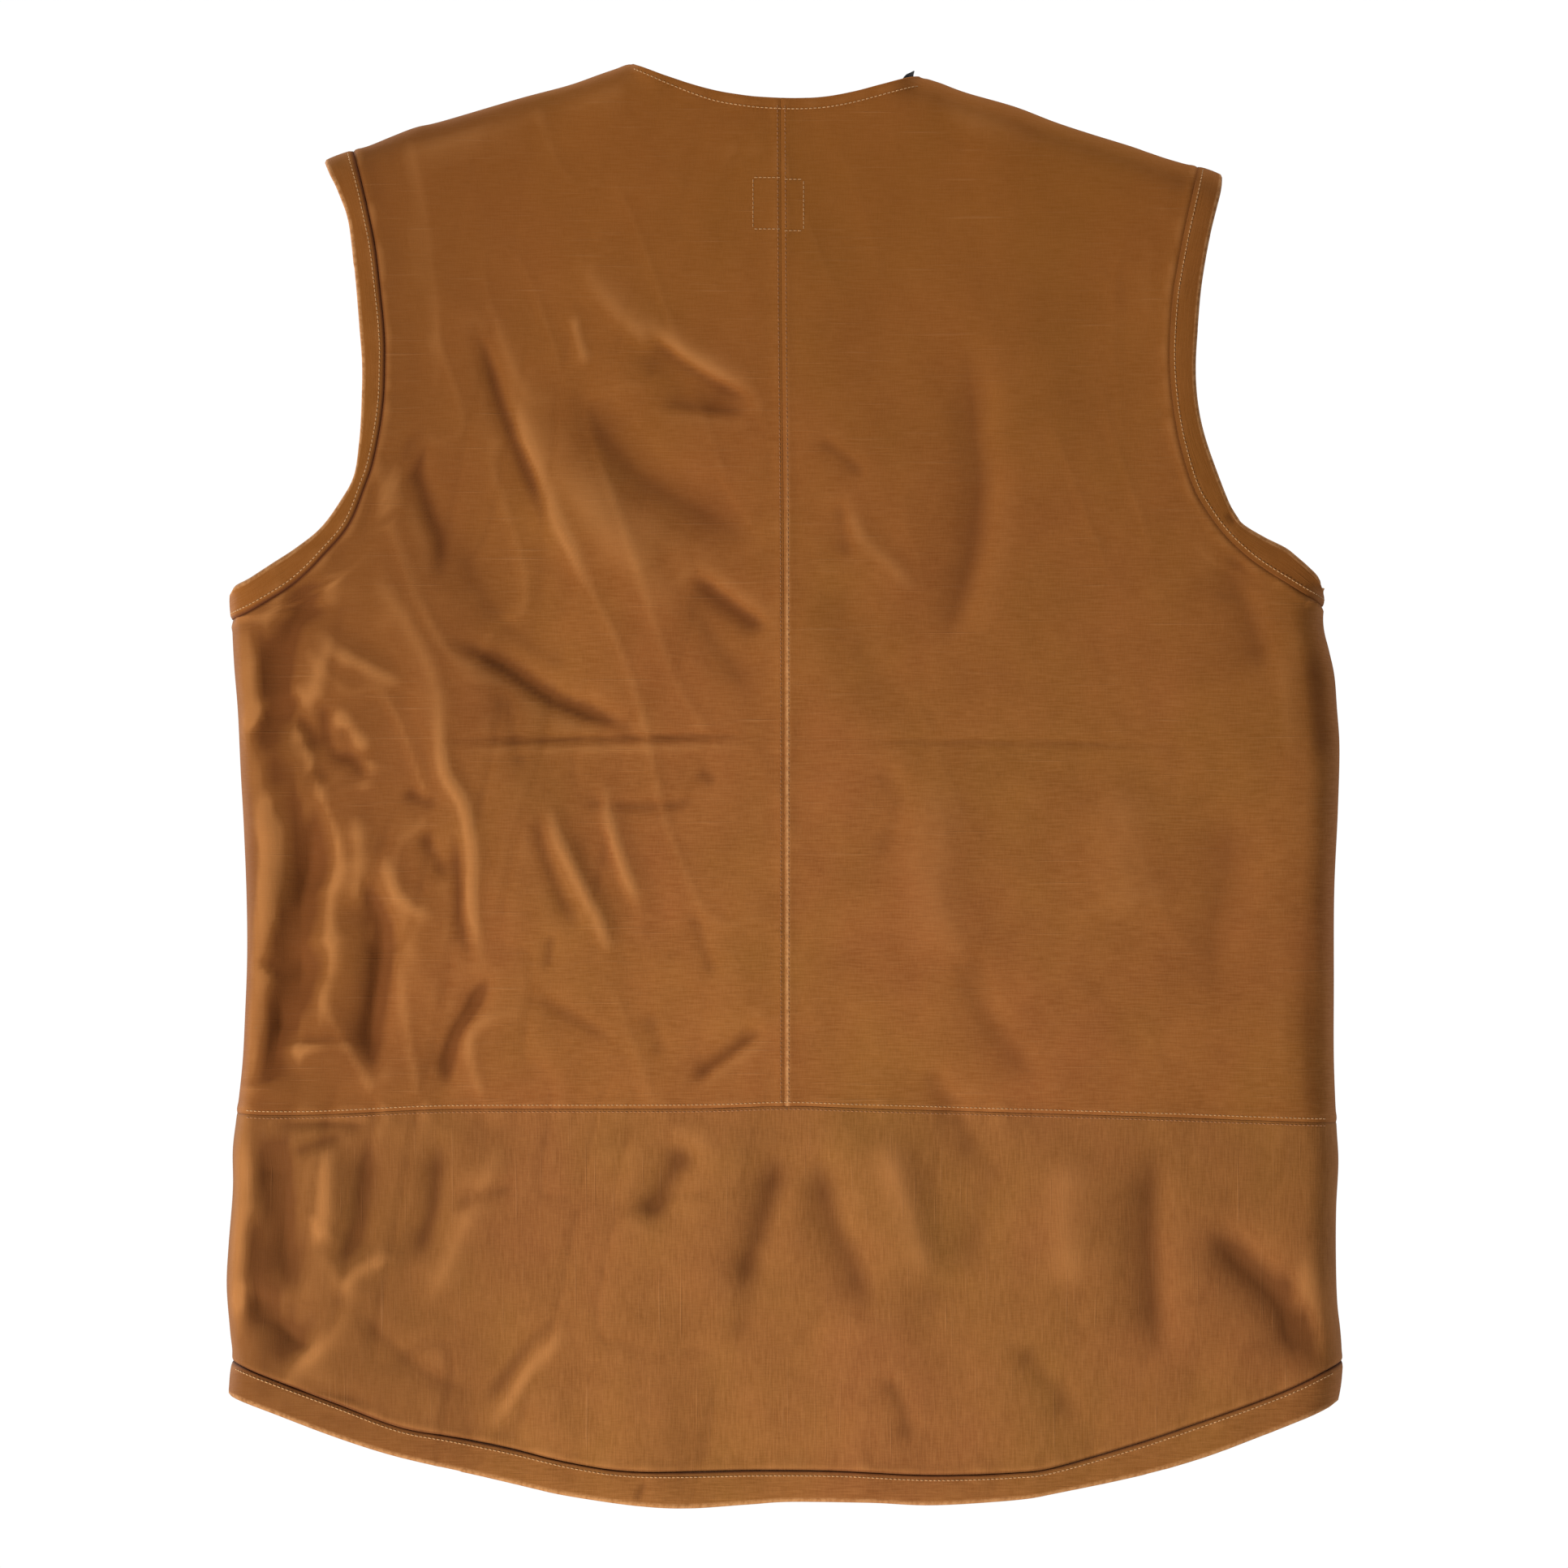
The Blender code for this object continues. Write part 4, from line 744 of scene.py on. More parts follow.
def canvas(name, base, upright=False, slubs=True, rib=1.0, ridge_rub_and_highlight=0.5, shade=1.0):
    """Plain-weave cotton duck: fine ribs along one way, threads across them, slubs, mottled dye, fold ridges rubbed
    pale with a painted highlight, painted shade in the creases, in the seam grooves, towards the top and at both sides,
    and edges rubbed pale with a painted highlight.
    The weave is placed on the cloth laid flat, so it follows the folds."""
    m, t, shader = nodes_of(name)
    k = Tree(t)
    uv = k.node("ShaderNodeUVMap", uv_map="grain").outputs[0]

    def laid(fast, slow, at=(0, 0, 0)):
        """Stretched along the ribs: across the cloth, or up it where the grain is turned."""
        return k.scaled(uv, slow, fast, 1, 0.0, at) if upright else k.scaled(uv, fast, slow, 1, 0.0, at)

    along, across = laid(90, 1150 * rib), laid(1300, 170)
    ribs, threads = k.noise(along, 1.0, 1.5), k.noise(across, 1.0, 1.5)
    weave = k.math("ADD", k.math("MULTIPLY", ribs, 0.65), k.math("MULTIPLY", threads, 0.35))
    slub = k.span(k.noise(laid(16, 620, (3, 1, 0)), 1.0, 1.0), 0.66, 0.78, 0.0, 1.0)
    cloud, blotch = k.noise(k.scaled(uv, 9, 7), 1.0, 3.0, 0.55), k.noise(k.scaled(uv, 34, 30, 1, 0.4, (5, 2, 0)), 1.0, 3.0, 0.6)
    speck = k.noise(k.scaled(uv, 420, 420), 1.0, 2.0, 0.6)
    marks = k.node("ShaderNodeAttribute", attribute_name="marks")
    split = k.node("ShaderNodeSeparateColor")
    k.put(split.inputs[0], marks.outputs["Color"])
    dark, tone, edge = split.outputs[0], split.outputs[1], split.outputs[2]
    b = np.array(base) * shade
    red, olive = b * (1.03, 0.93, 1.02), b * (0.98, 1.03, 0.84)
    colour = k.mix(k.span(cloud, 0.35, 0.65, 0, 1), tuple(red), tuple(olive))
    colour = k.mix(k.span(blotch, 0.30, 0.70, 0.0, 1.0), k.mix(0.13, colour, (0.0, 0.0, 0.0)), k.mix(0.10, colour, (0.42, 0.180, 0.052)))
    colour = k.mix(k.math("MULTIPLY", k.span(weave, 0.35, 0.65, 0.0, 1.0), 0.24), k.mix(0.10, colour, (0.01, 0.003, 0.001)), (0.43, 0.180, 0.054))
    colour = k.mix(k.math("MULTIPLY", k.span(speck, 0.55, 0.75, 0.0, 1.0), 0.14), colour, tuple(b * 0.45))
    place = k.node("ShaderNodeSeparateXYZ")
    k.put(place.inputs[0], uv)
    # painted shade: the cloth darker towards the top, where less light falls
    colour = k.mix(k.span(place.outputs[1], -0.40, -0.05, 0.0, 0.62), colour, tuple(b * (0.77, 0.72, 0.36)))
    # painted shade: the cloth slightly darker towards its right side
    colour = k.mix(k.span(place.outputs[0], 0.10, 0.30, 0.0, 0.10), colour, tuple(b * (0.80, 0.76, 0.55)))
    # painted shade: the cloth much darker towards its left side
    colour = k.mix(k.span(place.outputs[0], -0.11, -0.29, 0.0, 0.80), colour, tuple(b * (0.57, 0.55, 0.55)))
    if slubs:
        colour = k.mix(k.math("MULTIPLY", slub, 0.11), colour, (0.52, 0.25, 0.10))
    # fold ridges painted lighter: partly rubbed cloth, partly a painted highlight on the ridges
    ridge_light_mask = k.math("MULTIPLY", k.span(tone, 0.52, 0.85, 0.0, 1.0), ridge_rub_and_highlight)
    colour = k.mix(ridge_light_mask, colour, (0.41, 0.170, 0.050))
    # painted shade: the cloth darkened in its valleys and deep creases
    colour = k.mix(k.span(tone, 0.47, 0.05, 0.0, 0.72), colour, tuple(b * (0.40, 0.33, 0.28)))
    # edges rubbed pale, with a painted highlight along them
    colour = k.mix(k.math("MULTIPLY", edge, k.span(speck, 0.35, 0.6, 0.25, 0.75)), colour, (0.56, 0.29, 0.12))
    # painted shadow: the seam grooves darkened almost to black
    colour = k.mix(k.math("MULTIPLY", dark, 0.85), colour, (0.060, 0.0125, 0.0045))
    k.put(shader.inputs["Base Color"], colour)
    k.put(shader.inputs["Roughness"], k.span(weave, 0.3, 0.7, 0.93, 0.8))
    shader.inputs["Specular IOR Level"].default_value = 0.12
    shader.inputs["Sheen Weight"].default_value = 0.045
    shader.inputs["Sheen Roughness"].default_value = 0.45
    shader.inputs["Sheen Tint"].default_value = (0.85, 0.62, 0.40, 1)
    height = k.math("ADD", weave, k.math("MULTIPLY", slub, 0.5))
    normal = k.bump(height, 0.00028, 0.75)
    normal = k.bump(k.math("ADD", blotch, k.math("MULTIPLY", speck, 0.25)), 0.0012, 0.22, normal)
    k.put(shader.inputs["Normal"], normal)
    return m


def plain_weave(name, base, scale=1400, rough=0.85, contrast=0.35, bump=0.0002):
    """Tape, webbing, thread and label cloth, woven on the object's own coordinates."""
    m, t, shader = nodes_of(name)
    k = Tree(t)
    co = k.node("ShaderNodeTexCoord").outputs["Object"]
    a = k.noise(k.scaled(co, scale, scale, scale * 0.25), 1.0, 2.0)
    b = k.noise(k.scaled(co, scale * 0.25, scale * 0.25, scale), 1.0, 2.0)
    c = k.noise(co, 60, 3.0)
    weave = k.math("MULTIPLY", k.math("ADD", a, b), 0.5)
    base = np.array(base)
    colour = k.mix(k.span(weave, 0.4, 0.6, 0, 1), tuple(base * (1 - contrast)), tuple(np.minimum(base * (1 + contrast), 1)))
    colour = k.mix(k.span(c, 0.3, 0.7, 0.0, 0.35), colour, tuple(base * 0.6))
    k.put(shader.inputs["Base Color"], colour)
    shader.inputs["Roughness"].default_value = rough
    shader.inputs["Specular IOR Level"].default_value = 0.2
    shader.inputs["Sheen Weight"].default_value = 0.1
    k.put(shader.inputs["Normal"], k.bump(weave, bump, 0.8))
    return m


def metal(name, base, rough=0.34, tarnish=(0.10, 0.06, 0.02)):
    """Cast and plated metal with handling scratches and patches of tarnish."""
    m, t, shader = nodes_of(name)
    k = Tree(t)
    co = k.node("ShaderNodeTexCoord").outputs["Object"]
    a, b = k.noise(co, 260, 4.0, 0.6), k.noise(k.scaled(co, 2600, 300, 900), 1.0, 3.0, 0.6)
    colour = k.mix(k.span(a, 0.42, 0.72, 0.0, 0.6), base, tarnish)
    k.put(shader.inputs["Base Color"], colour)
    shader.inputs["Metallic"].default_value = 1.0
    k.put(shader.inputs["Roughness"], k.math("ADD", k.span(b, 0.3, 0.7, rough - 0.08, rough + 0.12), k.span(a, 0.4, 0.7, 0.0, 0.15)))
    k.put(shader.inputs["Normal"], k.bump(k.math("ADD", b, a), 0.00004, 0.5))
    return m


DUCK = (0.262, 0.0880, 0.0175)
M_BACK = canvas("duck_ribs_across", DUCK)
M_TAIL = canvas("duck_ribs_upright", tuple(np.array(DUCK) * (0.92, 1.01, 1.17)), upright=True)
M_BAND = canvas("duck_band", tuple(np.array(DUCK) * (0.92, 0.94, 0.97)), slubs=False, ridge_rub_and_highlight=0.6)
M_HEM = canvas("duck_hem", tuple(np.array(DUCK) * (0.85, 0.90, 0.97)), slubs=False, ridge_rub_and_highlight=0.6)
M_FRONT = canvas("duck_front", DUCK)
M_FACING = canvas("duck_facing", tuple(np.array(DUCK) * (0.85, 0.82, 0.85)), slubs=False)
M_THREAD = plain_weave("tan_thread", (0.50, 0.27, 0.11), 2600, 0.7, 0.2, 0.0001)
M_THREAD_RED = plain_weave("rust_thread", (0.36, 0.15, 0.05), 2600, 0.75, 0.2, 0.0001)
M_DARK = plain_weave("dark_tape_weave", (0.014, 0.014, 0.016), 1500, 0.8, 0.4)
M_LABEL = plain_weave("label_weave", (0.36, 0.30, 0.22), 2200, 0.7, 0.12, 0.0001)
M_ZIPTAPE = plain_weave("zipper_tape_weave", (0.13, 0.052, 0.018), 1700, 0.85, 0.35)
M_BRASS = metal("brass_aged", (0.62, 0.42, 0.16), rough=0.42)
M_STEEL = metal("snap_nickel", (0.52, 0.48, 0.42), 0.3, (0.16, 0.13, 0.10))


# ---------------------------------------------------------------- back
def outer_line(face, s, foot_length, gap):
    """The outer border of a body panel, from the given length down the side up to the armpit and round the armhole."""
    seam, sd = band_seam[face, s], side[s]
    start = sd.nearest(seam.p[-1])
    below = sd.part(foot_length, start)
    up = moved(seam.p, gap * SIDES[s])[::-1].copy()
    up[0] = sd.at(start)
    up[-1] = shoulder[s].at(shoulder[s].nearest(seam.p[0]))
    return below, np.vstack([below, up[1:]])


def anchors(pairs, knots):
    a, b = zip(*pairs)
    return np.interp(knots, a, b)


def back_panel(s):
    way = SIDES[s]
    sd = side[s]
    z_waist = float(waist.at_x(way * 304))
    foot = float(np.interp(-z_waist, -sd.p[:, 1], sd.s))
    below, border = outer_line("back", s, foot, 0.16 if s == "left" else 0.04)
    left = Path(border)
    low = Path(below).length
    line = Path(moved(centre.p[::-1], 0.06 * -way * -1))
    start_z = float(waist.at_x(line.p[0, 0]))
    line = Path(np.vstack([[line.p[0, 0], start_z], line.p[1:-1], [line.p[-1, 0], float(neck.at_x(line.p[-1, 0]))]]))
    w = waist.p[np.argsort(waist.p[:, 0])]
    half = w[(w[:, 0] * way > 0.4)]
    half = half if way < 0 else half[::-1]
    half = half[np.abs(half[:, 0]) < abs(border[0, 0]) - 1]
    bottom = Path(np.vstack([border[0], half, line.p[0]]))
    cut = shoulder[s].nearest(band_seam["back", s].p[0])
    keep = shoulder[s].part(cut, shoulder[s].length)
    run = neck.p if way < 0 else neck.p[::-1]
    run = run[(run[:, 0] * way > line.p[-1, 0] * way + 0.5)]
    top = Path(np.vstack([keep, run[1:], line.p[-1]]))
    kink = Path(keep).length / top.length
    L = left.length
    knots = FINE + spread(FINE[-1], low, 2.6) + spread(low, L - ROUND, 2.6) + [L - a for a in OUT[::-1]][1:]
    R = line.length
    other = anchors([(0, 0), (FINE[-1], FINE[-1]), (low, low * 1.0), (L - ROUND, R - ROUND), (L, R)], knots)
    widest = 305.0
    n_a = len(spread(OUT[-1], kink * widest, 2.6))
    n_b = len(spread(kink * widest, widest - FINE[-1], 2.6))

    def columns(v, width):
        first = [a / width for a in OUT]
        last = [1 - a / width for a in FINE[::-1]]
        return first + list(np.linspace(first[-1], kink, n_a + 1)[1:]) + list(np.linspace(kink, last[0], n_b + 1)[1:]) + last[1:]

    grid = coons(bottom, top, left, line, knots, other, columns)
    edge = np.zeros(grid.shape[:2])
    if way > 0:      # the ridge of the felled seam is rubbed pale low down on its right, with a painted highlight along it
        u = ramp(-grid[..., 1], 120, 330)
        edge = np.exp(-((grid[..., 0] - 2.0) / 0.9) ** 2) * u * 0.95
    pit = [i for i, k in enumerate(knots) if low - 0.1 <= k <= low + 16]
    obj = panel(f"back_cloth_{s}", grid, "back", M_BACK, roll=(0.3, 0.45, 0.2, 0.12), edge=edge,
                tuck=[((pit[1:], 0), (pit[1:], 1), 1.3), ((pit[0], slice(0, 8)), (pit[0] - 1, slice(0, 8)), 1.8)])
    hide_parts(f"back_panel_{s}")
    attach(obj, "shell")
    return obj, grid


def tail():
    zl, zr = float(waist.at_x(-303.5)), float(waist.at_x(305.5))
    ends = {}
    for s, z1 in (("left", zl), ("right", zr)):
        sd = side[s]
        a = float(np.interp(697.4, -sd.p[:, 1], sd.s))
        b = float(np.interp(-z1, -sd.p[:, 1], sd.s))
        ends[s] = Path(sd.part(a, b))
    hs = hem_seam.p[np.argsort(hem_seam.p[:, 0])]
    hs = hs[(hs[:, 0] > ends["left"].p[0, 0] + 1) & (hs[:, 0] < ends["right"].p[0, 0] - 1)]
    ws = waist.p[np.argsort(waist.p[:, 0])]
    ws = ws[(ws[:, 0] > ends["left"].p[-1, 0] + 1) & (ws[:, 0] < ends["right"].p[-1, 0] - 1)]
    bottom = Path(np.vstack([ends["left"].p[0], hs + (0, 0.15), ends["right"].p[0]]))
    top = Path(np.vstack([ends["left"].p[-1], ws - (0, 0.06), ends["right"].p[-1]]))
    L, R = ends["left"].length, ends["right"].length
    knots = FINE + spread(FINE[-1], L - FINE[-1], 1.9) + [L - a for a in FINE[::-1]][1:]
    other = np.array(knots) * R / L
    n = len(spread(OUT[-1], 610 - OUT[-1], 2.6))

    def columns(v, width):
        a = [x / width for x in OUT]
        return a + list(np.linspace(a[-1], 1 - a[-1], n + 1)[1:]) + [1 - x for x in a[::-1]][1:]

    grid = coons(bottom, top, ends["left"], ends["right"], knots, other, columns)
    low = slice(None)
    obj = panel("tail_cloth", grid, "tail", M_TAIL, roll=(0.4, 0.15, 0.2, 0.2), tuck=[((0, low), (1, low), 1.6)])
    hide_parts("tail_panel")
    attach(obj, "shell")
    return obj, grid


def area_of(P):
    return float(np.linalg.norm(np.cross(P[1:, 1:] - P[:-1, :-1], P[1:, :-1] - P[:-1, 1:]), axis=-1).sum() / 2) * 1e-6


def declare(obj, grid, face):
    """Says how large the piece was cut: its unrolled outline and area."""
    u, v = flat_place(grid[..., 0], grid[..., 1])
    flat = (float(u.max() - u.min()) * 0.001, float(v.max() - v.min()) * 0.001)
    area = min(area_of(shell(grid[..., 0], grid[..., 1], face)[0]), flat[0] * flat[1])
    print("cut", obj.name, [round(a, 3) for a in flat], round(area, 4))


backs = {s: back_panel(s) for s in SIDES}
tail_obj, tail_grid = tail()


def fold_blend(obj):
    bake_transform(obj)


def front_cloth(s):
    way = SIDES[s]
    sd = side[s]
    foot = float(np.interp(697.4, -sd.p[:, 1], sd.s))
    below, border = outer_line("front", s, foot, 0.2)
    left = Path(border)
    low = Path(below).length
    edge_x = way * PANEL_EDGE[s]
    inner = np.vstack([[edge_x, -697.4], [edge_x, V_TIP_Z - 12], v_edge[s].p[::-1][1:]])
    right = Path(smooth(inner[:2], 2).tolist() + inner[2:].tolist())
    bottom = Path([border[0], (edge_x, -697.4)])
    cut = shoulder[s].nearest(band_seam["back", s].p[0])
    top = Path(shoulder[s].part(cut, shoulder[s].length))
    L, R = left.length, right.length
    knots = FINE + spread(FINE[-1], low, 3.2) + spread(low, L - ROUND, 3.0) + [L - a for a in OUT[::-1]][1:]
    other = anchors([(0, 0), (FINE[-1], FINE[-1]), (low, low), (L - ROUND, R - ROUND), (L, R)], knots)
    n = len(spread(OUT[-1], 298 - FINE[-1], 3.2))

    def columns(v, width):
        first = [a / width for a in OUT]
        last = [1 - a / width for a in FINE[::-1]]
        return first + list(np.linspace(first[-1], last[0], n + 1)[1:]) + last[1:]

    grid = coons(bottom, top, left, right, knots, other, columns)
    pit = [i for i, k in enumerate(knots) if low - 0.1 <= k <= low + 16]
    obj = panel(f"front_cloth_{s}", grid, "front", M_FRONT, roll=(0.3, 0.3, 0.2, 0.5),
                tuck=[((pit[1:], 0), (pit[1:], 1), 1.3), ((pit[0], slice(0, 8)), (pit[0] - 1, slice(0, 8)), 1.8), ((0, slice(None)), (1, slice(None)), 1.6)])
    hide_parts(f"front_side_{s}", f"front_panel_{s}")
    fold_blend(obj)
    return obj, grid


fronts = {s: front_cloth(s) for s in SIDES}


# ---------------------------------------------------------------- bands
def arm_band(s):
    """The doubled band sewn round the armhole: a closed ring with a rounded, slightly full section."""
    way = SIDES[s]
    parts, dark_parts, uv_parts = [], [], []
    run = 0.0
    for face, sign in (("back", -1), ("front", 1)):
        seam, edge = band_seam[face, s], arm_edge[face, s]
        knots = np.array([a for a in OUT] + spread(ROUND, seam.length - ROUND, 1.7) + [seam.length - a for a in OUT[::-1]][1:])
        inner = moved(seam.p, (-0.12 if s == "left" else -0.02) * way)
        inner = Path(inner).at(knots * Path(inner).length / seam.length)
        outer = edge.at(np.interp(knots, [0, ROUND, seam.length - ROUND, seam.length], [0, ROUND, edge.length - ROUND, edge.length]))
        w = np.array([0, 0.05, 0.14, 0.28, 0.45, 0.62, 0.78, 0.9, 0.97, 1.0])
        grid = inner[:, None] * (1 - w[None, :, None]) + outer[:, None] * w[None, :, None]
        P, N, dark, H = skin(grid[..., 0], grid[..., 1], f"band_{face}")
        puff = 0.55 * np.sin(pi * np.clip(w, 0.02, 0.98)) ** 0.6 - 0.25
        P = P + N * puff[None, :, None]
        # the band closes on itself at the armpit and at the shoulder
        for k, u in ((0, 0.0), (len(knots) - 1, 1.0)):
            P[k, :, 1] = sign * 0.02
        parts.append(P)
        # marks of the band: painted shadow at its seam, painted shade and highlight from its relief, its outer fold
        # rubbed pale with a painted highlight
        dark_parts.append(np.stack([np.clip(dark, 0, 1), 0.5 + 0 * dark + 0.5 * tone_of(H), 0.55 * np.broadcast_to(w > 0.93, dark.shape)], -1))
        length = knots if face == "back" else 2 * seam.length - knots
        uv_parts.append(np.stack(np.broadcast_arrays(length[:, None], w[None, :] * 16.0), -1) * 0.001)
    P = np.concatenate([parts[0][::-1], parts[1][1:-1]])
    marks = np.concatenate([dark_parts[0][::-1], dark_parts[1][1:-1]])
    uv = np.concatenate([uv_parts[0][::-1], uv_parts[1][1:-1]])
    obj = cloth(f"armhole_binding_{s}", P, BAND, M_BAND, ring=True, roll=(0, 0, 0.25, 0.55), uv=uv, marks=marks)
    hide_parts(f"armhole_band_{s}")
    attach(obj, "shell")
    return obj


def hem_back():
    hs = hem_seam.p[np.argsort(hem_seam.p[:, 0])]
    he = hem_edge.p[np.argsort(hem_edge.p[:, 0])]
    hs, he = Path(hs), Path(he)
    L = hs.length
    knots = np.array(OUT + spread(ROUND, L - ROUND, 1.7) + [L - a for a in OUT[::-1]][1:])
    share = np.interp(knots, [0, ROUND, L - ROUND, L], [0, ROUND, he.length - ROUND, he.length])
    inner, outer = hs.at(knots) - (0, 0.15), he.at(share)
    for s, k in (("left", 0), ("right", -1)):
        z = -697.6
        inner[k] = (np.interp(-z, -side[s].p[:, 1], side[s].p[:, 0]), z)
    w = np.array([0, 0.05, 0.14, 0.28, 0.45, 0.62, 0.78, 0.9, 0.97, 1.0])
    grid = inner[:, None] * (1 - w[None, :, None]) + outer[:, None] * w[None, :, None]
    P, N, dark, H = skin(grid[..., 0], grid[..., 1], "hem_back")
    P = P + N * (0.55 * np.sin(pi * np.clip(w, 0.02, 0.98)) ** 0.6 - 0.25)[None, :, None]
    P[0, :, 1] = P[-1, :, 1] = -0.03
    # marks of the hem band: painted shadow at its seam, painted shade and highlight from its relief, its outer fold
    # rubbed pale with a painted highlight
    marks = np.stack([np.clip(dark, 0, 1), 0.5 + 0.5 * tone_of(H), 0.5 * np.broadcast_to(w > 0.93, dark.shape)], -1)
    u, v = flat_place(grid[..., 0], grid[..., 1])
    obj = cloth("hem_binding_back", P, BAND, M_HEM, (0, -1, 0), roll=(0.1, 0.1, 0.25, 0.55), uv=np.stack([u, v], -1) * 0.001, marks=marks)
    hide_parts("hem_band_back")
    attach(obj, "shell")
    return obj, grid


def hem_front(s):
    way = SIDES[s]
    corner = np.array([np.interp(697.6, -side[s].p[:, 1], side[s].p[:, 0]), -697.6])
    edge_corner = hem_edge.p[0] if way < 0 else hem_edge.p[-1]
    width = abs(corner[0]) - PANEL_EDGE[s]
    knots = np.array(OUT + spread(ROUND, width, 2.0))
    x = way * (abs(corner[0]) - knots)
    inner = np.stack([x, np.full(len(x), -697.6)], 1)
    xe = way * np.interp(knots, [0, width], [abs(edge_corner[0]), PANEL_EDGE[s]])
    ze = edge_corner[1] + (HEM_FRONT - edge_corner[1]) * ramp(knots, 0, 40)
    outer = np.stack([xe, ze], 1)
    w = np.array([0, 0.05, 0.14, 0.28, 0.45, 0.62, 0.78, 0.9, 0.97, 1.0])
    grid = inner[:, None] * (1 - w[None, :, None]) + outer[:, None] * w[None, :, None]
    P, N, dark, H = skin(grid[..., 0], grid[..., 1], "hem_front")
    P = P + N * (0.55 * np.sin(pi * np.clip(w, 0.02, 0.98)) ** 0.6 - 0.25)[None, :, None]
    P[0, :, 1] = 0.03
    # marks of the hem band: painted shadow at its seam, painted shade and highlight from its relief, its outer fold
    # rubbed pale with a painted highlight
    marks = np.stack([np.clip(dark, 0, 1), 0.5 + 0.5 * tone_of(H), 0.5 * np.broadcast_to(w > 0.93, dark.shape)], -1)
    u, v = flat_place(grid[..., 0], grid[..., 1])
    obj = cloth(f"hem_binding_front_{s}", P, BAND, M_HEM, (0, 1, 0), roll=(0.1, 0.3, 0.25, 0.55), uv=np.stack([u, v], -1) * 0.001, marks=marks)
    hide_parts(f"hem_band_front_{s}")
    fold_blend(obj)
    return obj, grid


arm_bands = {s: arm_band(s) for s in SIDES}
hem_back_obj, hem_back_grid = hem_back()
hem_fronts = {s: hem_front(s) for s in SIDES}


# ---------------------------------------------------------------- stitching
def stitch_mesh(rows):
    """Real stitches along lines of surface points: (points, normals) in mm, one short waisted thread per stitch."""
    verts, quads = [], []
    base = 0
    for line, normals, pitch, share, r in rows:
        line, normals = np.asarray(line, float), np.asarray(normals, float)
        run = np.concatenate([[0], np.cumsum(np.linalg.norm(np.diff(line, axis=0), axis=1))])
        count = int(run[-1] / pitch)
        if count < 1:
            continue
        start = np.arange(count) * pitch + (run[-1] - count * pitch) / 2 + pitch * (1 - share) / 2
        length = pitch * share
        f = np.array([0.0, 0.16, 0.84, 1.0])
        at = start[:, None] + f[None, :] * length
        P = np.stack([np.interp(at, run, line[:, k]) for k in range(3)], -1)
        N = unit(np.stack([np.interp(at, run, normals[:, k]) for k in range(3)], -1))
        T = unit(P[:, -1] - P[:, 0])[:, None]
        B = unit(np.cross(T, N))
        rise = np.array([-0.12, 0.16, 0.16, -0.12])[None, :, None]
        size = np.array([0.35, 1.0, 1.0, 0.35])[None, :, None] * r
        C = P + N * rise
        ring = np.stack([C + N * size, C + B * size, C - N * size * 0.7, C - B * size], 2)       # stitch, ring, corner
        verts.append(ring.reshape(-1, 3))
        k = np.arange(count)[:, None] * 16 + base
        q = []
        for a in range(3):
            for c in range(4):
                q.append([a * 4 + c, a * 4 + (c + 1) % 4, (a + 1) * 4 + (c + 1) % 4, (a + 1) * 4 + c])
        q += [[3, 2, 1, 0], [12, 13, 14, 15]]
        q = np.array(q)
        quads.append((k[:, :, None] + q[None]).reshape(-1, 4))
        base += count * 16
    return np.concatenate(verts), np.concatenate(quads)


def on_skin(line, zone, extra=0.0, pitch=1.2, puff=0.0):
    """Surface points and normals along a line of (x, z)."""
    path = Path(line)
    p = path.at(np.linspace(0, path.length, max(2, int(path.length / pitch))))
    P, N, _, _ = skin(p[:, 0], p[:, 1], zone, extra)
    return P + N * puff, N


def sew(name, rows, body=None, blend=None, mat=None):
    verts, quads = stitch_mesh(rows)
    obj = make_object(name, verts, quads, mat or M_THREAD)
    if blend:
        fold_blend(obj)
    else:
        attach(obj, body)
    return obj


def row(line, zone, pitch=STITCH, share=0.74, r=0.27, puff=0.0, extra=0.0):
    P, N = on_skin(line, zone, extra, puff=puff)
    return (P, N, pitch, share, r)


def clip_line(line, keep):
    line = np.asarray(line)
    return line[keep(line)]


# back seams
twin = []
c_line = centre.part(3, centre.length - 1.0)
for off in (-1.9, 2.3):
    twin.append(row(c_line + (off, 0), "back", r=0.22, share=0.70))
sew("stitching_centre_back", twin, "shell", mat=M_THREAD_RED)
w_line = waist.p[np.argsort(waist.p[:, 0])]
w_line = w_line[(w_line[:, 0] > -299) & (w_line[:, 0] < 302)]
sew("stitching_waist_upper", [row(w_line + (0, 1.9), "back", r=0.24, share=0.72)], "shell", mat=M_THREAD)
sew("stitching_waist_lower", [row(w_line - (0, 1.9), "tail", r=0.24, share=0.72)], "shell", mat=M_THREAD_RED)
n_line = neck.p[np.argsort(neck.p[:, 0])]
n_line = n_line[(n_line[:, 0] > -84) & (n_line[:, 0] < 75)]
drop = 2.7 + 2.7 * ramp(n_line[:, 0], -84, -30)
sew("stitching_neck_back", [row(moved(n_line, 0) - np.stack([0 * drop, drop], 1), "back")], "shell")
rows = []
for a, b, c, d in ((-17.1, -43.4, -1.6, -43.4), (-17.1, -43.4, -17.1, -71.8), (-17.1, -71.8, -1.6, -71.8), (-1.0, -44.4, 10.8, -44.4), (10.8, -44.4, 10.8, -72.8), (-1.0, -72.8, 10.8, -72.8)):
    rows.append(row(np.linspace((a, b), (c, d), 30), "back", r=0.2, share=0.8))
sew("stitching_label", rows, "shell")
for s, way in SIDES.items():
    rows = []
    for face in ("back", "front"):
        seam = band_seam[face, s]
        rows.append(row(moved(seam.part(2, seam.length - 2), 2.7 * way), f"band_{face}", puff=0.2))
    sew(f"stitching_armhole_{s}", rows, "shell")
h_line = hem_seam.p[np.argsort(hem_seam.p[:, 0])]
h_line = h_line[(h_line[:, 0] > -303) & (h_line[:, 0] < 306)]
sew("stitching_hem_back", [row(h_line - (0, 2.7), "hem_back", puff=0.2)], "shell")
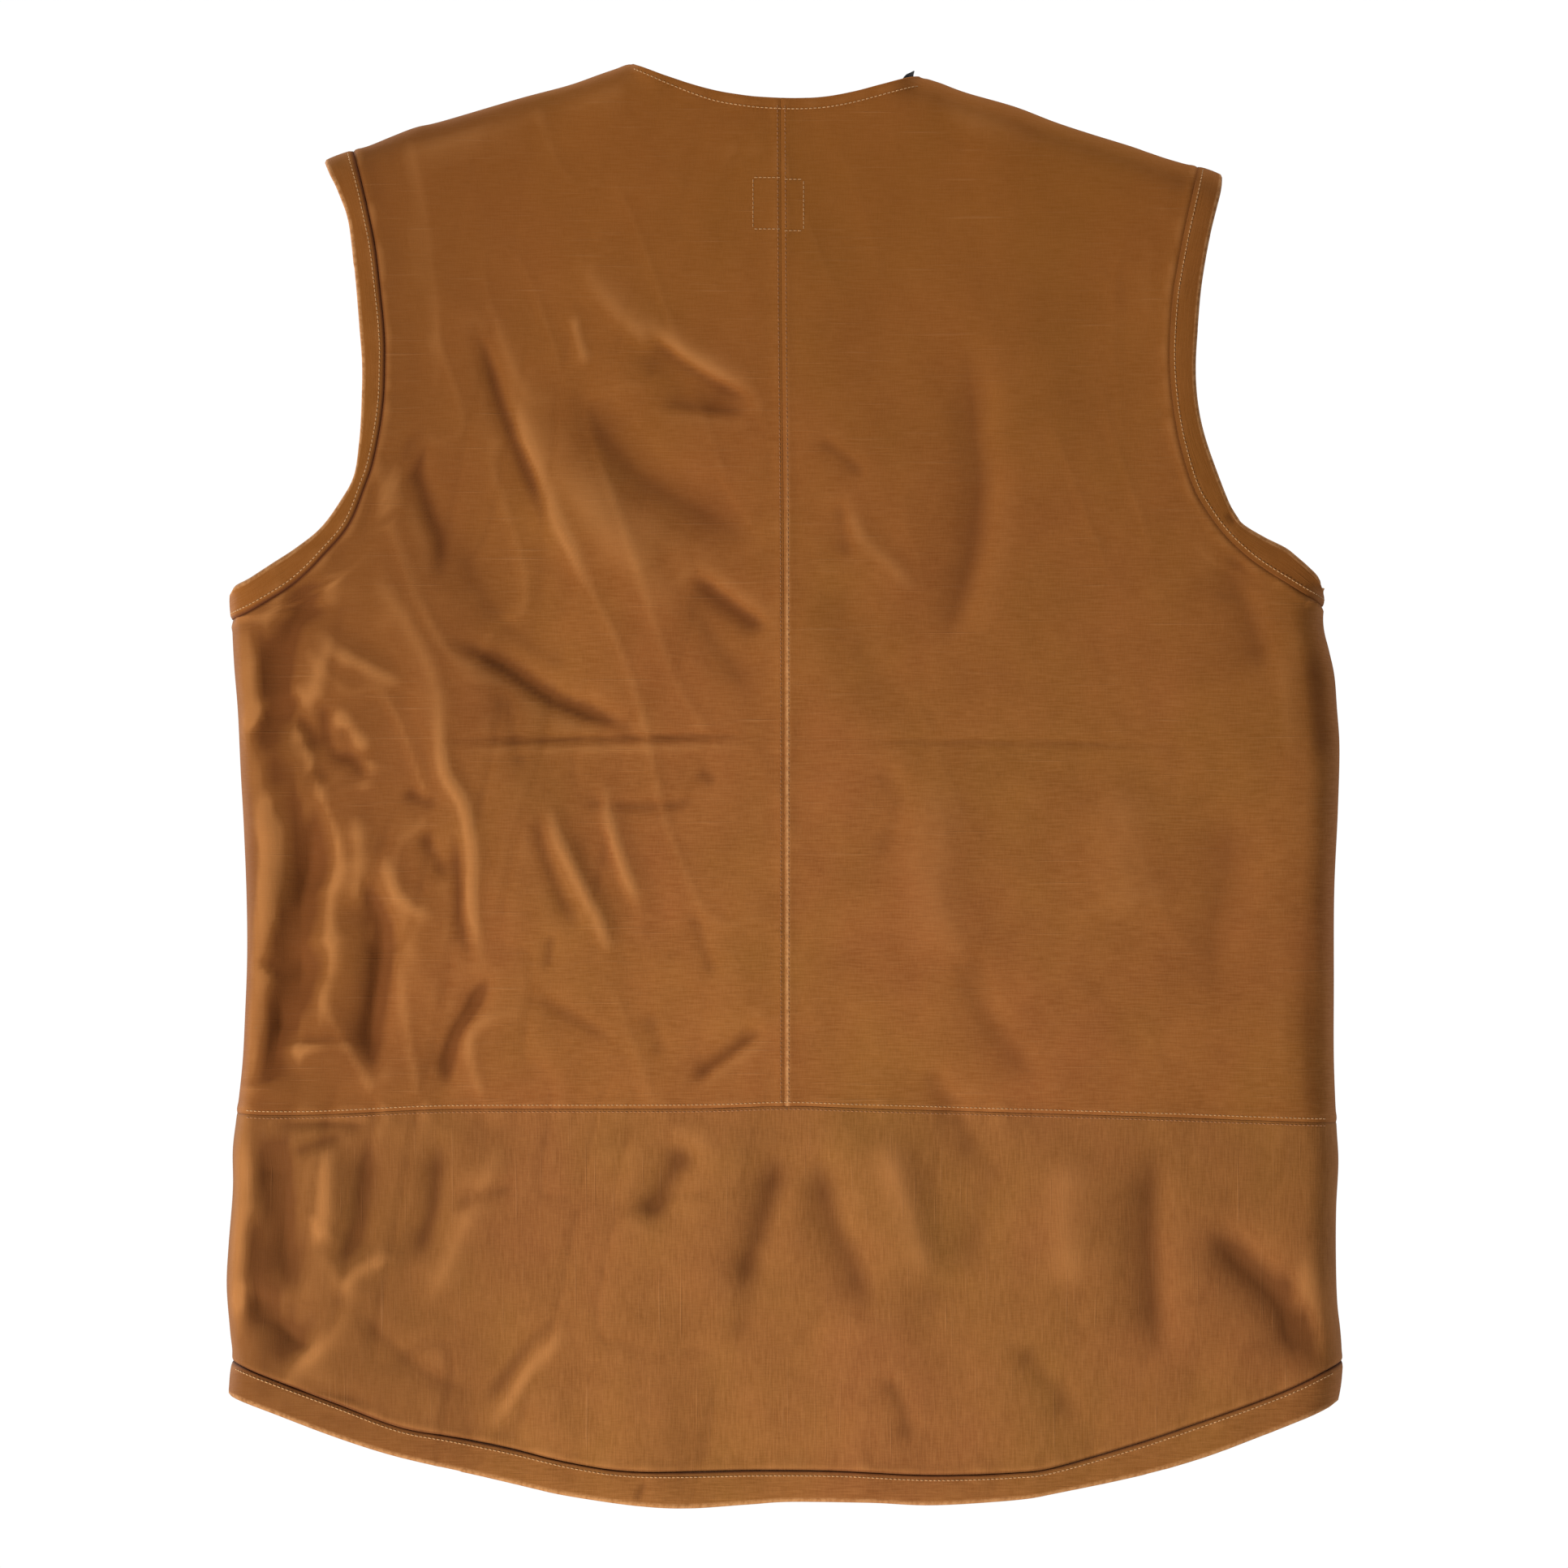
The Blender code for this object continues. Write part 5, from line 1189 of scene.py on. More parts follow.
for s, way in SIDES.items():
    rows = [row(np.array([(way * 300, HEM_SEAM_FRONT - 2.6), (way * (PANEL_EDGE[s] + 1), HEM_SEAM_FRONT - 2.6)]), "hem_front", puff=0.2)]
    sew(f"stitching_hem_front_{s}", rows, blend=s)
    ve = v_edge[s].part(1.0, v_edge[s].length)
    edge_line = np.vstack([moved(ve, 5.2 * way), [(way * (PANEL_EDGE[s] + 5.2), V_TIP_Z - 8), (way * (PANEL_EDGE[s] + 5.2), HEM_SEAM_FRONT + 1.5)]])
    rows = [row(edge_line, "front")]
    inner_line = np.array([(way * (PANEL_EDGE[s] + 1.6), V_TIP_Z - 8), (way * (PANEL_EDGE[s] + 1.6), HEM_SEAM_FRONT + 1.5)])
    rows.append(row(inner_line, "front"))
    sew(f"stitching_front_edge_{s}", rows, blend=s)

# ---------------------------------------------------------------- inside the neck
def quiet(shape):
    """Marks for cloth with no painted seam shade, no painted shade or highlight on its folds and no rubbed edges of its
    own.
    """
    m = np.zeros(tuple(shape) + (3,))
    m[..., 1] = 0.5
    return m


def neck_strip(name, node, x0, x1, low, high, inset, thick, mat, puff=0.0):
    xs = np.linspace(x0, x1, int((x1 - x0) / 1.5))
    z = neck.at_x(xs)
    a, b = z + low(xs), z + high(xs)
    w = np.linspace(0, 1, 11)
    gx, gz = np.broadcast_to(xs[:, None], (len(xs), len(w))), a[:, None] * (1 - w) + b[:, None] * w
    P, N, _, _ = skin(gx, gz, "back", -inset)
    P = P + N * (puff * np.sin(pi * w))[None, :, None]
    obj = cloth(name, P, thick, mat, (0, -1, 0), roll=(0.4,) * 4, uv=np.stack([gx, gz], -1) * 0.001, marks=quiet(gx.shape))
    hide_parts(node)
    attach(obj, "shell")
    return obj


neck_strip("neck_facing_cloth", "neck_facing", -62, 53, lambda x: -30.0 + 0 * x, lambda x: -1.0 + 0 * x, CLOTH + 0.8, 1.0, M_FACING)
neck_strip("neck_tape_cloth", "neck_tape", -58, 75, lambda x: -14.0 + 7.0 * ramp(x, 58, 72), lambda x: -4.0 + 5.6 * ramp(x, 61, 71), CLOTH + 2.2, 0.8, M_DARK)
gx, gz = np.meshgrid(np.linspace(-17, 11, 20), np.linspace(-72, -43.4, 20), indexing="ij")
P, N, _, _ = skin(gx, gz, "back", -(CLOTH + 0.35))
label_obj = cloth("neck_label_cloth", P, 0.7, M_LABEL, (0, -1, 0), roll=(0.5,) * 4, uv=np.stack([gx, gz], -1) * 0.001, marks=quiet(gx.shape))
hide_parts("neck_label")
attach(label_obj, "shell")
t = np.linspace(0, 1, 60)
lx, lz, ly = -30 + 60 * t, -17 - 22 * np.sin(pi * t), -29.6 + 9.5 * np.sin(pi * t)
nx, nz = 22 * pi * np.cos(pi * t), np.full(60, 60.0)
size = np.hypot(nx, nz)
w = np.linspace(-3.5, 3.5, 8)
P = np.stack([lx[:, None] + w * (nx / size)[:, None], ly[:, None] + 0.35 * np.cos(w / 3.5 * pi / 2)[None, :] - 0.2, lz[:, None] + w * (nz / size)[:, None]], -1)
loop_obj = cloth("hanger_loop_tape", P, 0.9, M_DARK, (0, 1, 0), roll=(0.4,) * 4, uv=P[..., [0, 2]] * 0.001, marks=quiet(P.shape[:2]))
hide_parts("hanger_loop")
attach(loop_obj, "shell")
xs = np.linspace(-56, 55, 90)
rows = []
for off in (-5.6, -12.6):
    P, N, _, _ = skin(xs, neck.at_x(xs) + off, "back", -(CLOTH + 3.05))
    rows.append((P, -N, 2.6, 0.72, 0.22))
sew("stitching_neck_tape", rows, "shell", mat=M_THREAD)


# ---------------------------------------------------------------- the fronts' facing and closure
def facing(s):
    way = SIDES[s]
    t = np.linspace((FOLD_TOP_ARC + 0.6) / v_edge[s].length + 0.03, 1, 44)
    vs = v_edge[s].at(t * v_edge[s].length)
    side_in = way * 10.5 if s == "right" else way * PANEL_EDGE[s]
    k = np.linspace(0, 1, 44)
    outer = vs + np.stack([way * 26 * (0.4 + 0.6 * k), -5 * k], 1)
    inner = np.stack([np.maximum(np.abs(vs[:, 0] + way), abs(side_in)) * way, vs[:, 1] - 0.6], 1)
    z = np.linspace(V_TIP_Z - 8, HEM_SEAM_FRONT + 4, 120)
    outer = np.vstack([outer, np.stack([np.full(120, side_in + way * 26), z], 1)])
    inner = np.vstack([inner, np.stack([np.full(120, side_in), z], 1)])
    w = np.linspace(0, 1, 12)
    g = inner[:, None] * (1 - w[None, :, None]) + outer[:, None] * w[None, :, None]
    lift = 0.25 * noise2(g[..., 0], g[..., 1] * 0.5, 16, 41) * w
    P = np.stack([g[..., 0], 32.3 - 0.25 * w + lift, g[..., 1]], -1)
    obj = cloth(f"facing_cloth_{s}", P, 1.0, M_FACING, (0, 1, 0), roll=(0.4,) * 4, uv=g * 0.001, marks=quiet(g.shape[:2]))
    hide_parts(f"front_facing_{s}")
    fold_blend(obj)


def zip_tape(s):
    way = SIDES[s]
    a, b = TAPE[s]
    u = np.array([0, 0.3, 0.7, 1.1, 1.5, 2.2, 3.5, 5.5, 8, 11, b - a - 1.2, b - a])
    z = np.linspace(HEM_SEAM_FRONT + 1, ZIP_TOP - 3, 220)
    gx, gz = np.broadcast_to(way * (a + u), (len(z), len(u))), np.broadcast_to(z[:, None], (len(z), len(u)))
    y = 33.15 + 0.75 * np.exp(-((u - 0.8) / 0.55) ** 2) * (u < 2.5) + 0 * gz + 0.05 * noise2(gx, gz, 8, 51)
    P = np.stack([gx, y, gz], -1)
    obj = cloth(f"zipper_tape_cloth_{s}", P, 0.6, M_ZIPTAPE, (0, 1, 0), roll=(0.4,) * 4, uv=P[..., [0, 2]] * 0.001, marks=quiet(gx.shape))
    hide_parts(f"zipper_tape_{s}")
    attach(obj, f"{s}_front")


def teeth(s):
    """Cast metal teeth clamped on the tape's cord: clamp, neck and rounded head."""
    way = SIDES[s]
    a, b = CHAIN[s]
    pitch = 2.8
    z = np.arange(ZIP_BOTTOM + 1.2 + (pitch / 2 if way > 0 else 0), ZIP_TOP - 0.6, pitch)
    sections = [(0.0, 0.55, 0.85), (0.15, 0.78, 1.12), (1.0, 0.85, 1.18), (1.3, 0.48, 0.92), (1.65, 0.46, 0.85), (1.9, 0.70, 0.92), (2.45, 0.66, 0.86), (2.8, 0.38, 0.55)]
    turn = [0.45, 0.9, 1.0, 0.9, 0.45]
    ring = [(-1, -0.55), (-0.6, -1), (0.6, -1), (1, -0.55), (1, 0.55), (0.6, 1), (-0.6, 1), (-1, 0.55)]
    one, q = [], []
    for k, (u, hz, hy) in enumerate(sections):
        for cz, cy in ring:
            one.append((way * (b - u), 32.9 + cy * hy, cz * hz))
        if k:
            for c in range(8):
                q.append([(k - 1) * 8 + c, (k - 1) * 8 + (c + 1) % 8, k * 8 + (c + 1) % 8, k * 8 + c])
    e = (len(sections) - 1) * 8
    q += [[3, 2, 1, 0], [7, 4, 3, 0], [7, 6, 5, 4], [e, e + 1, e + 2, e + 3], [e, e + 3, e + 4, e + 7], [e + 4, e + 5, e + 6, e + 7]]
    one, q = np.array(one), np.array(q)
    if way > 0:
        q = q[:, ::-1]
    # the first face's normal has to point away from the tooth's middle
    f = one[q[0]]
    n = np.cross(f[1] - f[0], f[2] - f[0])
    if (n * (f.mean(0) - one[:16].mean(0))).sum() < 0:
        q = q[:, ::-1]
    verts = (one[None] + np.stack([0 * z, 0 * z, z], 1)[:, None]).reshape(-1, 3)
    quads = (q[None] + (np.arange(len(z)) * len(one))[:, None, None]).reshape(-1, 4)
    obj = make_object(f"zipper_teeth_{s}", verts, quads, M_BRASS)
    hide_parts(f"zipper_chain_{s}")
    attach(obj, f"{s}_front")


for s in SIDES:
    facing(s)
    zip_tape(s)
    teeth(s)


# ---------------------------------------------------------------- pockets, flaps and snaps
def round_corner(half, low, high, r, n=7):
    """The border of an upright rectangle with rounded lower corners: left side, bottom and right side as paths."""
    def arc(cx, a, b):
        t = np.radians(np.linspace(a, b, n))
        return np.stack([cx + r * np.cos(t), low + r + r * np.sin(t)], 1)
    left = np.vstack([arc(-half + r, 225, 180), [(-half, high)]])
    right = np.vstack([arc(half - r, 315, 360), [(half, high)]])
    bottom = np.vstack([arc(-half + r, 225, 270), arc(half - r, 270, 315)])
    return Path(left), Path(bottom), Path(right)


def u_line(half, low, high, r, inset=0.0):
    """One line down the left side, along the bottom and up the right side, set in from the border."""
    left, bottom, right = round_corner(half - inset, low + inset, high, max(r - inset, 1.0))
    return Path(np.vstack([left.p[::-1], bottom.p[1:], right.p[1:]]))


def flat_grid(half, low, high, r, pitch):
    left, bottom, right = round_corner(half, low, high, r)
    top = Path([(-half, high), (half, high)])
    L = left.length
    knots = [0] + FINE[1:] + spread(FINE[-1], L - FINE[-1], pitch) + [L - a for a in FINE[::-1]][1:]
    n = len(spread(FINE[-1], 2 * half - FINE[-1], pitch))

    def columns(v, width):
        first = [a / width for a in FINE]
        return first + list(np.linspace(first[-1], 1 - first[-1], n + 1)[1:]) + [1 - a for a in first[::-1]][1:]

    return coons(bottom, top, left, right, knots, knots, columns)


def edge_gap(line, x, z):
    """How far each point is from a border line."""
    _, d, _, _, _ = near(line, np.ravel(x), np.ravel(z))
    return d.reshape(np.shape(x))


def lathe(name, profile, at, mat, body, node=None, seg=36):
    """A turned part: profile of (radius, height) from its outer middle to its under middle, standing along +Y."""
    verts = [(at[0], at[1] + profile[0][1], at[2])]
    for r, h in profile[1:-1]:
        for k in range(seg):
            t = 2 * pi * k / seg
            verts.append((at[0] + r * cos(t), at[1] + h, at[2] + r * sin(t)))
    verts.append((at[0], at[1] + profile[-1][1], at[2]))
    last, rings = len(verts) - 1, len(profile) - 2
    tris = [(0, 1 + (k + 1) % seg, 1 + k) for k in range(seg)]
    tris += [(last, 1 + (rings - 1) * seg + k, 1 + (rings - 1) * seg + (k + 1) % seg) for k in range(seg)]
    quads = [(1 + j * seg + k, 1 + j * seg + (k + 1) % seg, 1 + (j + 1) * seg + (k + 1) % seg, 1 + (j + 1) * seg + k) for j in range(rings - 1) for k in range(seg)]
    mesh_faces = [tuple(f) for f in quads]
    mesh = bpy.data.meshes.new(name)
    mesh.from_pydata((np.array(verts) * 0.001).tolist(), [], mesh_faces + tris)
    mesh.validate()
    mesh.materials.append(mat)
    mesh.shade_smooth()
    obj = bpy.data.objects.new(name, mesh)
    scene.collection.objects.link(obj)
    if node:
        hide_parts(node)
    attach(obj, body)
    return obj


def pocket(kind, s, d):
    way = SIDES[s]
    y0 = DEPTH + 0.3
    y1 = y0 + d["depth"]
    xc, half = way * (d["x0"] + d["x1"]) / 2, (d["x1"] - d["x0"]) / 2
    low, high, r = d["bottom"], d["top"], 7.0
    seed = 60 + 3 * (way > 0) + (kind == "lower")
    border = u_line(half, low, high, r)
    covered = high - d["drop"]

    def face(x, z):
        """The pocket's front: flat under the flap, full and softly creased below it, drawn in at its sewn edge."""
        e = edge_gap(border.p, x, z)
        free = (1 - ramp(z, covered - 14, covered + 2)) * ramp(e, 3, 26)
        puff = free * (1.5 + 1.3 * noise2(x, z * 0.8, 30, seed) + 0.5 * noise2(x + z, z, 13, seed + 9))
        y = y1 + puff - 0.55 * np.exp(-e / 1.0) + 0.22 * np.exp(-((e - 4.0) / 1.6) ** 2) * ramp(covered - z, -4, 4)
        y = y + 0.12 * noise2(x, z, 7, seed) * ramp(e, 1, 6) * ramp(covered - z, -4, 4)
        return np.stack([x + xc, y, z], -1)

    g = flat_grid(half, low, high, r, 2.4)
    P = face(g[..., 0], g[..., 1])
    m = quiet(g.shape[:2])
    e = edge_gap(border.p, g[..., 0], g[..., 1])
    m[..., 2] = 0.55 * np.exp(-(e / 0.7) ** 2)
    # painted shade in the pocket face's hollows, lighter paint on its swells
    m[..., 1] = 0.5 + 0.2 * tone_of(P[..., 1])
    front = cloth(f"{kind}_pocket_face_{s}", P, 1.3, M_FRONT, (0, 1, 0), roll=(0.5,) * 4, uv=(g + (xc, 0)) * 0.001, marks=m)
    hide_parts(f"{kind}_pocket_{s}")
    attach(front, f"{s}_front")
    # gusset: a strip sewn along the face's edge and the front, folded inwards between them
    steps = int(border.length / 2.0)
    at = np.linspace(0, border.length, steps)
    p = border.at(at)
    d_along = np.gradient(p, axis=0)
    n = np.stack([d_along[:, 1], -d_along[:, 0]], 1) / np.hypot(*d_along.T)[:, None]
    if ((n[0] * (-1, 0)).sum()) < 0:
        n = -n
    deep = y1 - y0
    prof = np.array([(-0.1, deep - 0.45), (-0.5, deep - 1.3), (-1.1, deep * 0.86), (-2.2, deep * 0.74), (-3.1, deep * 0.62), (-3.5, deep * 0.5), (-3.1, deep * 0.38),
                     (-2.2, deep * 0.26), (-1.2, deep * 0.15), (-0.4, 0.9), (0.1, 0.1)])
    wave = 0.7 * noise2(at, at * 0, 17, seed + 5)
    off = prof[None, :, 0] * (1 + 0.25 * wave[:, None])
    P = np.stack([xc + p[:, 0, None] + n[:, 0, None] * off, np.broadcast_to(y0 + prof[None, :, 1], off.shape), p[:, 1, None] + n[:, 1, None] * off], -1)
    uv = np.stack(np.broadcast_arrays(at[:, None], prof[None, :, 1]), -1) * 0.001
    m = quiet(off.shape)
    # painted shade inside the gusset's inward fold, darkest at its middle
    m[..., 1] = 0.5 - 0.25 * np.sin(pi * np.linspace(0, 1, len(prof)))[None]
    out = np.stack([n[:, 0], 0 * n[:, 0], n[:, 1]], 1)[:, None]
    gus = cloth(f"{kind}_pocket_gusset_{s}", P, 1.1, M_FRONT, out, roll=(0.4,) * 4, uv=uv, marks=m)
    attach(gus, f"{s}_front")
    rows = []
    for inset in (1.9, 6.6):
        q = u_line(half, low, high, r, inset)
        q = q.at(np.linspace(1, q.length - 1, int(q.length / 1.2)))
        Q = face(q[:, 0], q[:, 1])
        rows.append((Q, np.broadcast_to((0.0, 1.0, 0.0), Q.shape), STITCH, 0.74, 0.27))
    x = np.linspace(-half + 3, half - 3, 60)
    Q = face(x, np.full(60, high - 17.0))
    rows.append((Q, np.broadcast_to((0.0, 1.0, 0.0), Q.shape), STITCH, 0.74, 0.27))
    sew(f"stitching_{kind}_pocket_{s}", rows, f"{s}_front")

    # flap
    body = f"{s}_{kind}_flap"
    y_leg = y1 + SNAP_GAP + CLOTH
    raw = Path([(y0 + 1.5, high + d["rise"] + 0.5), (y_leg, high + 2.3), (y_leg, high - d["drop"])])
    fine = raw.at(np.linspace(0, raw.length, 240))
    for _ in range(150):
        fine[1:-1] = (fine[:-2] + fine[2:] + 2 * fine[1:-1]) / 4
    prof = Path(fine)
    fh, fr = half + 1.5, 9.0
    ring = u_line(fh, -prof.length, 0.0, fr)
    snaps = [(way * x - xc, -(np.interp(-(high - d["drop"] + 13), -prof.p[:, 1], prof.s))) for x in d["snaps"]]

    def flap_at(x, b):
        """The flap over (across, minus its own length from the hinge)."""
        c = prof.at(-b)
        ahead, behind = prof.at(np.clip(-b + 0.8, 0, prof.length)), prof.at(np.clip(-b - 0.8, 0, prof.length))
        t = unit(ahead - behind)
        n = np.stack([-t[..., 1], t[..., 0]], -1)
        e = edge_gap(ring.p, x, b)
        near_snap = sum(np.exp(-(((x - u) ** 2 + (b - v) ** 2) / 90.0)) for u, v in snaps)
        lift = (0.55 + 0.55 * noise2(x, b * 0.8, 24, seed + 20) + 0.12 * noise2(x, b, 7, seed + 21)) * ramp(e, 0, 4) * ramp(-b, 3, 14) * (1 - np.clip(near_snap, 0, 1))
        lift = lift + 0.7 * ramp(np.abs(x), fh - 22, fh) * ramp(-b, prof.length - 24, prof.length) + 0.2 * np.exp(-((e - 4.2) / 1.8) ** 2) - 0.25 * np.exp(-e / 0.9)
        N = np.stack([0 * x, n[..., 0], n[..., 1]], -1)
        return np.stack([x + xc, c[..., 0], c[..., 1]], -1) + N * lift[..., None], N, e

    g = flat_grid(fh, -prof.length, 0.0, fr, 2.2)
    P, N, e = flap_at(g[..., 0], g[..., 1])
    m = quiet(g.shape[:2])
    # painted shade in the flap's hollows, lighter paint on its ridges
    m[..., 1] = 0.5 + 0.5 * tone_of(P[..., 1] * ramp(-g[..., 1], 14, 26))
    m[..., 2] = 0.5 * np.exp(-(e / 0.7) ** 2) + 0.25 * np.exp(-((g[..., 1] + 21) / 2.2) ** 2) * (kind == "lower")
    obj = cloth(f"{kind}_flap_cloth_{s}", P, CLOTH, M_FRONT, (0, 1, 0.3), roll=(0.5,) * 4, uv=(g + (xc, high)) * 0.001, marks=m)
    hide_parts(f"{kind}_flap_{s}")
    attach(obj, body)
    rows = []
    for inset in (1.9, 7.2):
        q = u_line(fh, -prof.length, 0.0, fr, inset)
        q = q.at(np.linspace(1, q.length - 1, int(q.length / 1.2)))
        Q, QN, _ = flap_at(q[:, 0], q[:, 1])
        rows.append((Q, QN, STITCH, 0.74, 0.27))
    for b in (-2.0, -7.0):
        x = np.linspace(-fh + 2, fh - 2, int(fh / 0.6))
        Q, QN, _ = flap_at(x, np.full(len(x), b))
        rows.append((Q, QN, STITCH, 0.74, 0.27))
    sew(f"stitching_{kind}_flap_{s}", rows, body)
    for i, x in enumerate(d["snaps"]):
        tag = "" if len(d["snaps"]) == 1 else "_" + "ab"[i]
        z = high - d["drop"] + 13
        cap = [(0, 2.55), (1.5, 2.52), (3.0, 2.38), (4.2, 2.12), (4.9, 1.86), (5.15, 1.62), (5.35, 1.66), (5.8, 1.55), (6.12, 1.2), (6.2, 0.8), (6.1, 0.3), (5.7, -0.05), (3.0, -0.1), (0, -0.1)]
        lathe(f"{kind}_snap_cap_turned_{s}{tag}", cap, (way * x, y_leg, z), M_STEEL, body, node=f"{kind}_snap_cap_{s}{tag}")
        stud = [(0, 1.5), (1.2, 1.6), (1.7, 1.5), (1.75, 1.1), (1.5, 0.75), (1.9, 0.6), (3.2, 0.55), (3.55, 0.35), (3.6, 0.05), (3.3, -0.2), (0, -0.2)]
        lathe(f"{kind}_snap_stud_turned_{s}{tag}", stud, (way * x, y1, z), M_STEEL, f"{s}_front", node=f"{kind}_snap_stud_{s}{tag}")


for s in SIDES:
    pocket("chest", s, CHEST)
    pocket("lower", s, LOWER)

# ---------------------------------------------------------------- accessory ring and its tab
rx, rz = RING_AT
eye = np.array([rx, DEPTH + 4.2, rz - 21.0])
line = smooth([(36.35, rz - 0.3), (36.55, rz - 8), (36.6, rz - 14.5), (38.4, rz - 17.6), (40.9, rz - 17.9), (42.6, rz - 20.6), (41.8, rz - 23.4), (39.3, rz - 24.6),
               (36.9, rz - 23.2), (35.75, rz - 19.5), (35.6, rz - 14), (35.6, rz - 3)], 7)
w = np.linspace(-7, 7, 15)
P = np.stack([np.broadcast_to(rx + w, (len(line), len(w))), np.broadcast_to(line[:, None, 0], (len(line), len(w))), np.broadcast_to(line[:, None, 1], (len(line), len(w)))], -1)
t = unit(np.gradient(line, axis=0))
out = np.stack([0 * t[:, 0], -t[:, 1], t[:, 0]], 1)[:, None]
run = Path(line).s
run = np.interp(np.linspace(0, 1, len(line)), np.linspace(0, 1, len(run)), run)
uv = np.stack(np.broadcast_arrays(w[None, :], run[:, None]), -1) * 0.001
m = quiet(P.shape[:2])
m[..., 2] = 0.6 * (np.abs(w)[None] > 6.4)
tab = cloth("ring_tab_cloth", P, 0.75, M_BAND, out, roll=(0.4,) * 4, uv=uv, marks=m)
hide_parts("d_ring_tab")
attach(tab, "right_front")
rows = []
for a, b in (((-5.4, -2), (5.4, -2)), ((5.4, -2), (5.4, -13)), ((5.4, -13), (-5.4, -13)), ((-5.4, -13), (-5.4, -2)), ((-5.4, -2), (5.4, -13)), ((5.4, -2), (-5.4, -13))):
    q = np.linspace(a, b, 14)
    rows.append((np.stack([rx + q[:, 0], np.full(14, 36.62), rz + q[:, 1]], 1), np.broadcast_to((0.0, 1.0, 0.0), (14, 3)), 2.1, 0.72, 0.24))
sew("stitching_ring_tab", rows, "right_front")
path = [(-8.5, 0.0), (-6.5, 0), (-3, 0), (0, 0), (3, 0), (6.5, 0), (8.5, 0.0), (10.3, -0.9), (11.0, -3.0)]
path += [(11.0 * cos(radians(a)), -5.5 - 10.0 * sin(radians(a))) for a in range(0, 181, 12)]
path += [(-11.0, -3.0), (-10.3, -0.9)]
c = np.array(path * 3)
c = smooth(c, 4)[len(path) * 4:len(path) * 8]
t = unit(np.roll(c, -1, 0) - np.roll(c, 1, 0))
n = np.stack([-t[:, 1], t[:, 0]], 1)
verts, quads, seg = [], [], 14
for k in range(len(c)):
    for j in range(seg):
        a = 2 * pi * j / seg
        verts.append((eye[0] + c[k, 0] + n[k, 0] * 1.25 * cos(a), eye[1] + 1.25 * sin(a), eye[2] + c[k, 1] + n[k, 1] * 1.25 * cos(a)))
        k2, j2 = (k + 1) % len(c), (j + 1) % seg
        quads.append((k * seg + j, k2 * seg + j, k2 * seg + j2, k * seg + j2))
verts, quads = np.array(verts), np.array(quads)
f = verts[quads[0]]
mid = verts[:seg].mean(0)
if (np.cross(f[1] - f[0], f[2] - f[0]) * (f.mean(0) - mid)).sum() < 0:
    quads = quads[:, ::-1]
ring_obj = make_object("d_ring_wire", verts, quads, M_BRASS)
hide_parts("d_ring")
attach(ring_obj, "ring")

# metal parts kept from the frame: broken edges and an aged brass face
for name in ("zipper_slider", "zipper_pull", "zipper_box", "zipper_pin", "zipper_stop_left", "zipper_stop_right"):
    o = nodes[name]
    o.data.materials.clear()
    o.data.materials.append(M_BRASS)
    bevel = o.modifiers.new("broken_edges", "BEVEL")
    bevel.width, bevel.segments, bevel.limit_method, bevel.angle_limit = 0.00022, 2, "ANGLE", radians(40)
    bevel.harden_normals = False

# ---------------------------------------------------------------- stage and light
def material_plain(name, colour, emit=0.0):
    m, t, shader = nodes_of(name)
    shader.inputs["Base Color"].default_value = (*colour, 1)
    shader.inputs["Roughness"].default_value = 0.9
    if emit:
        shader.inputs["Emission Color"].default_value = (*colour, 1)
        shader.inputs["Emission Strength"].default_value = emit
    return m


def backdrop():
    """A white surround that the lights and the cloth don't see, so that only the view has it."""
    mesh = bpy.data.meshes.new("backdrop")
    verts, faces = [], []
    rings, around = 16, 32
    for i in range(rings + 1):
        th = pi * i / rings
        for j in range(around):
            ph = 2 * pi * j / around
            verts.append((18 * sin(th) * cos(ph), 18 * sin(th) * sin(ph), 18 * cos(th)))
    for i in range(rings):
        for j in range(around):
            faces.append((i * around + j, i * around + (j + 1) % around, (i + 1) * around + (j + 1) % around, (i + 1) * around + j))
    mesh.from_pydata(verts, [], faces)
    mesh.validate()
    m = bpy.data.materials.new("backdrop_white")
    m.use_nodes = True
    t = m.node_tree
    t.nodes.clear()
    out, emit = t.nodes.new("ShaderNodeOutputMaterial"), t.nodes.new("ShaderNodeEmission")
    emit.inputs[0].default_value = (1, 1, 1, 1)
    emit.inputs[1].default_value = 1.02
    t.links.new(emit.outputs[0], out.inputs[0])
    mesh.materials.append(m)
    o = bpy.data.objects.new("backdrop", mesh)
    scene.collection.objects.link(o)
    for flag in ("visible_diffuse", "visible_glossy", "visible_transmission", "visible_volume_scatter", "visible_shadow"):
        setattr(o, flag, False)


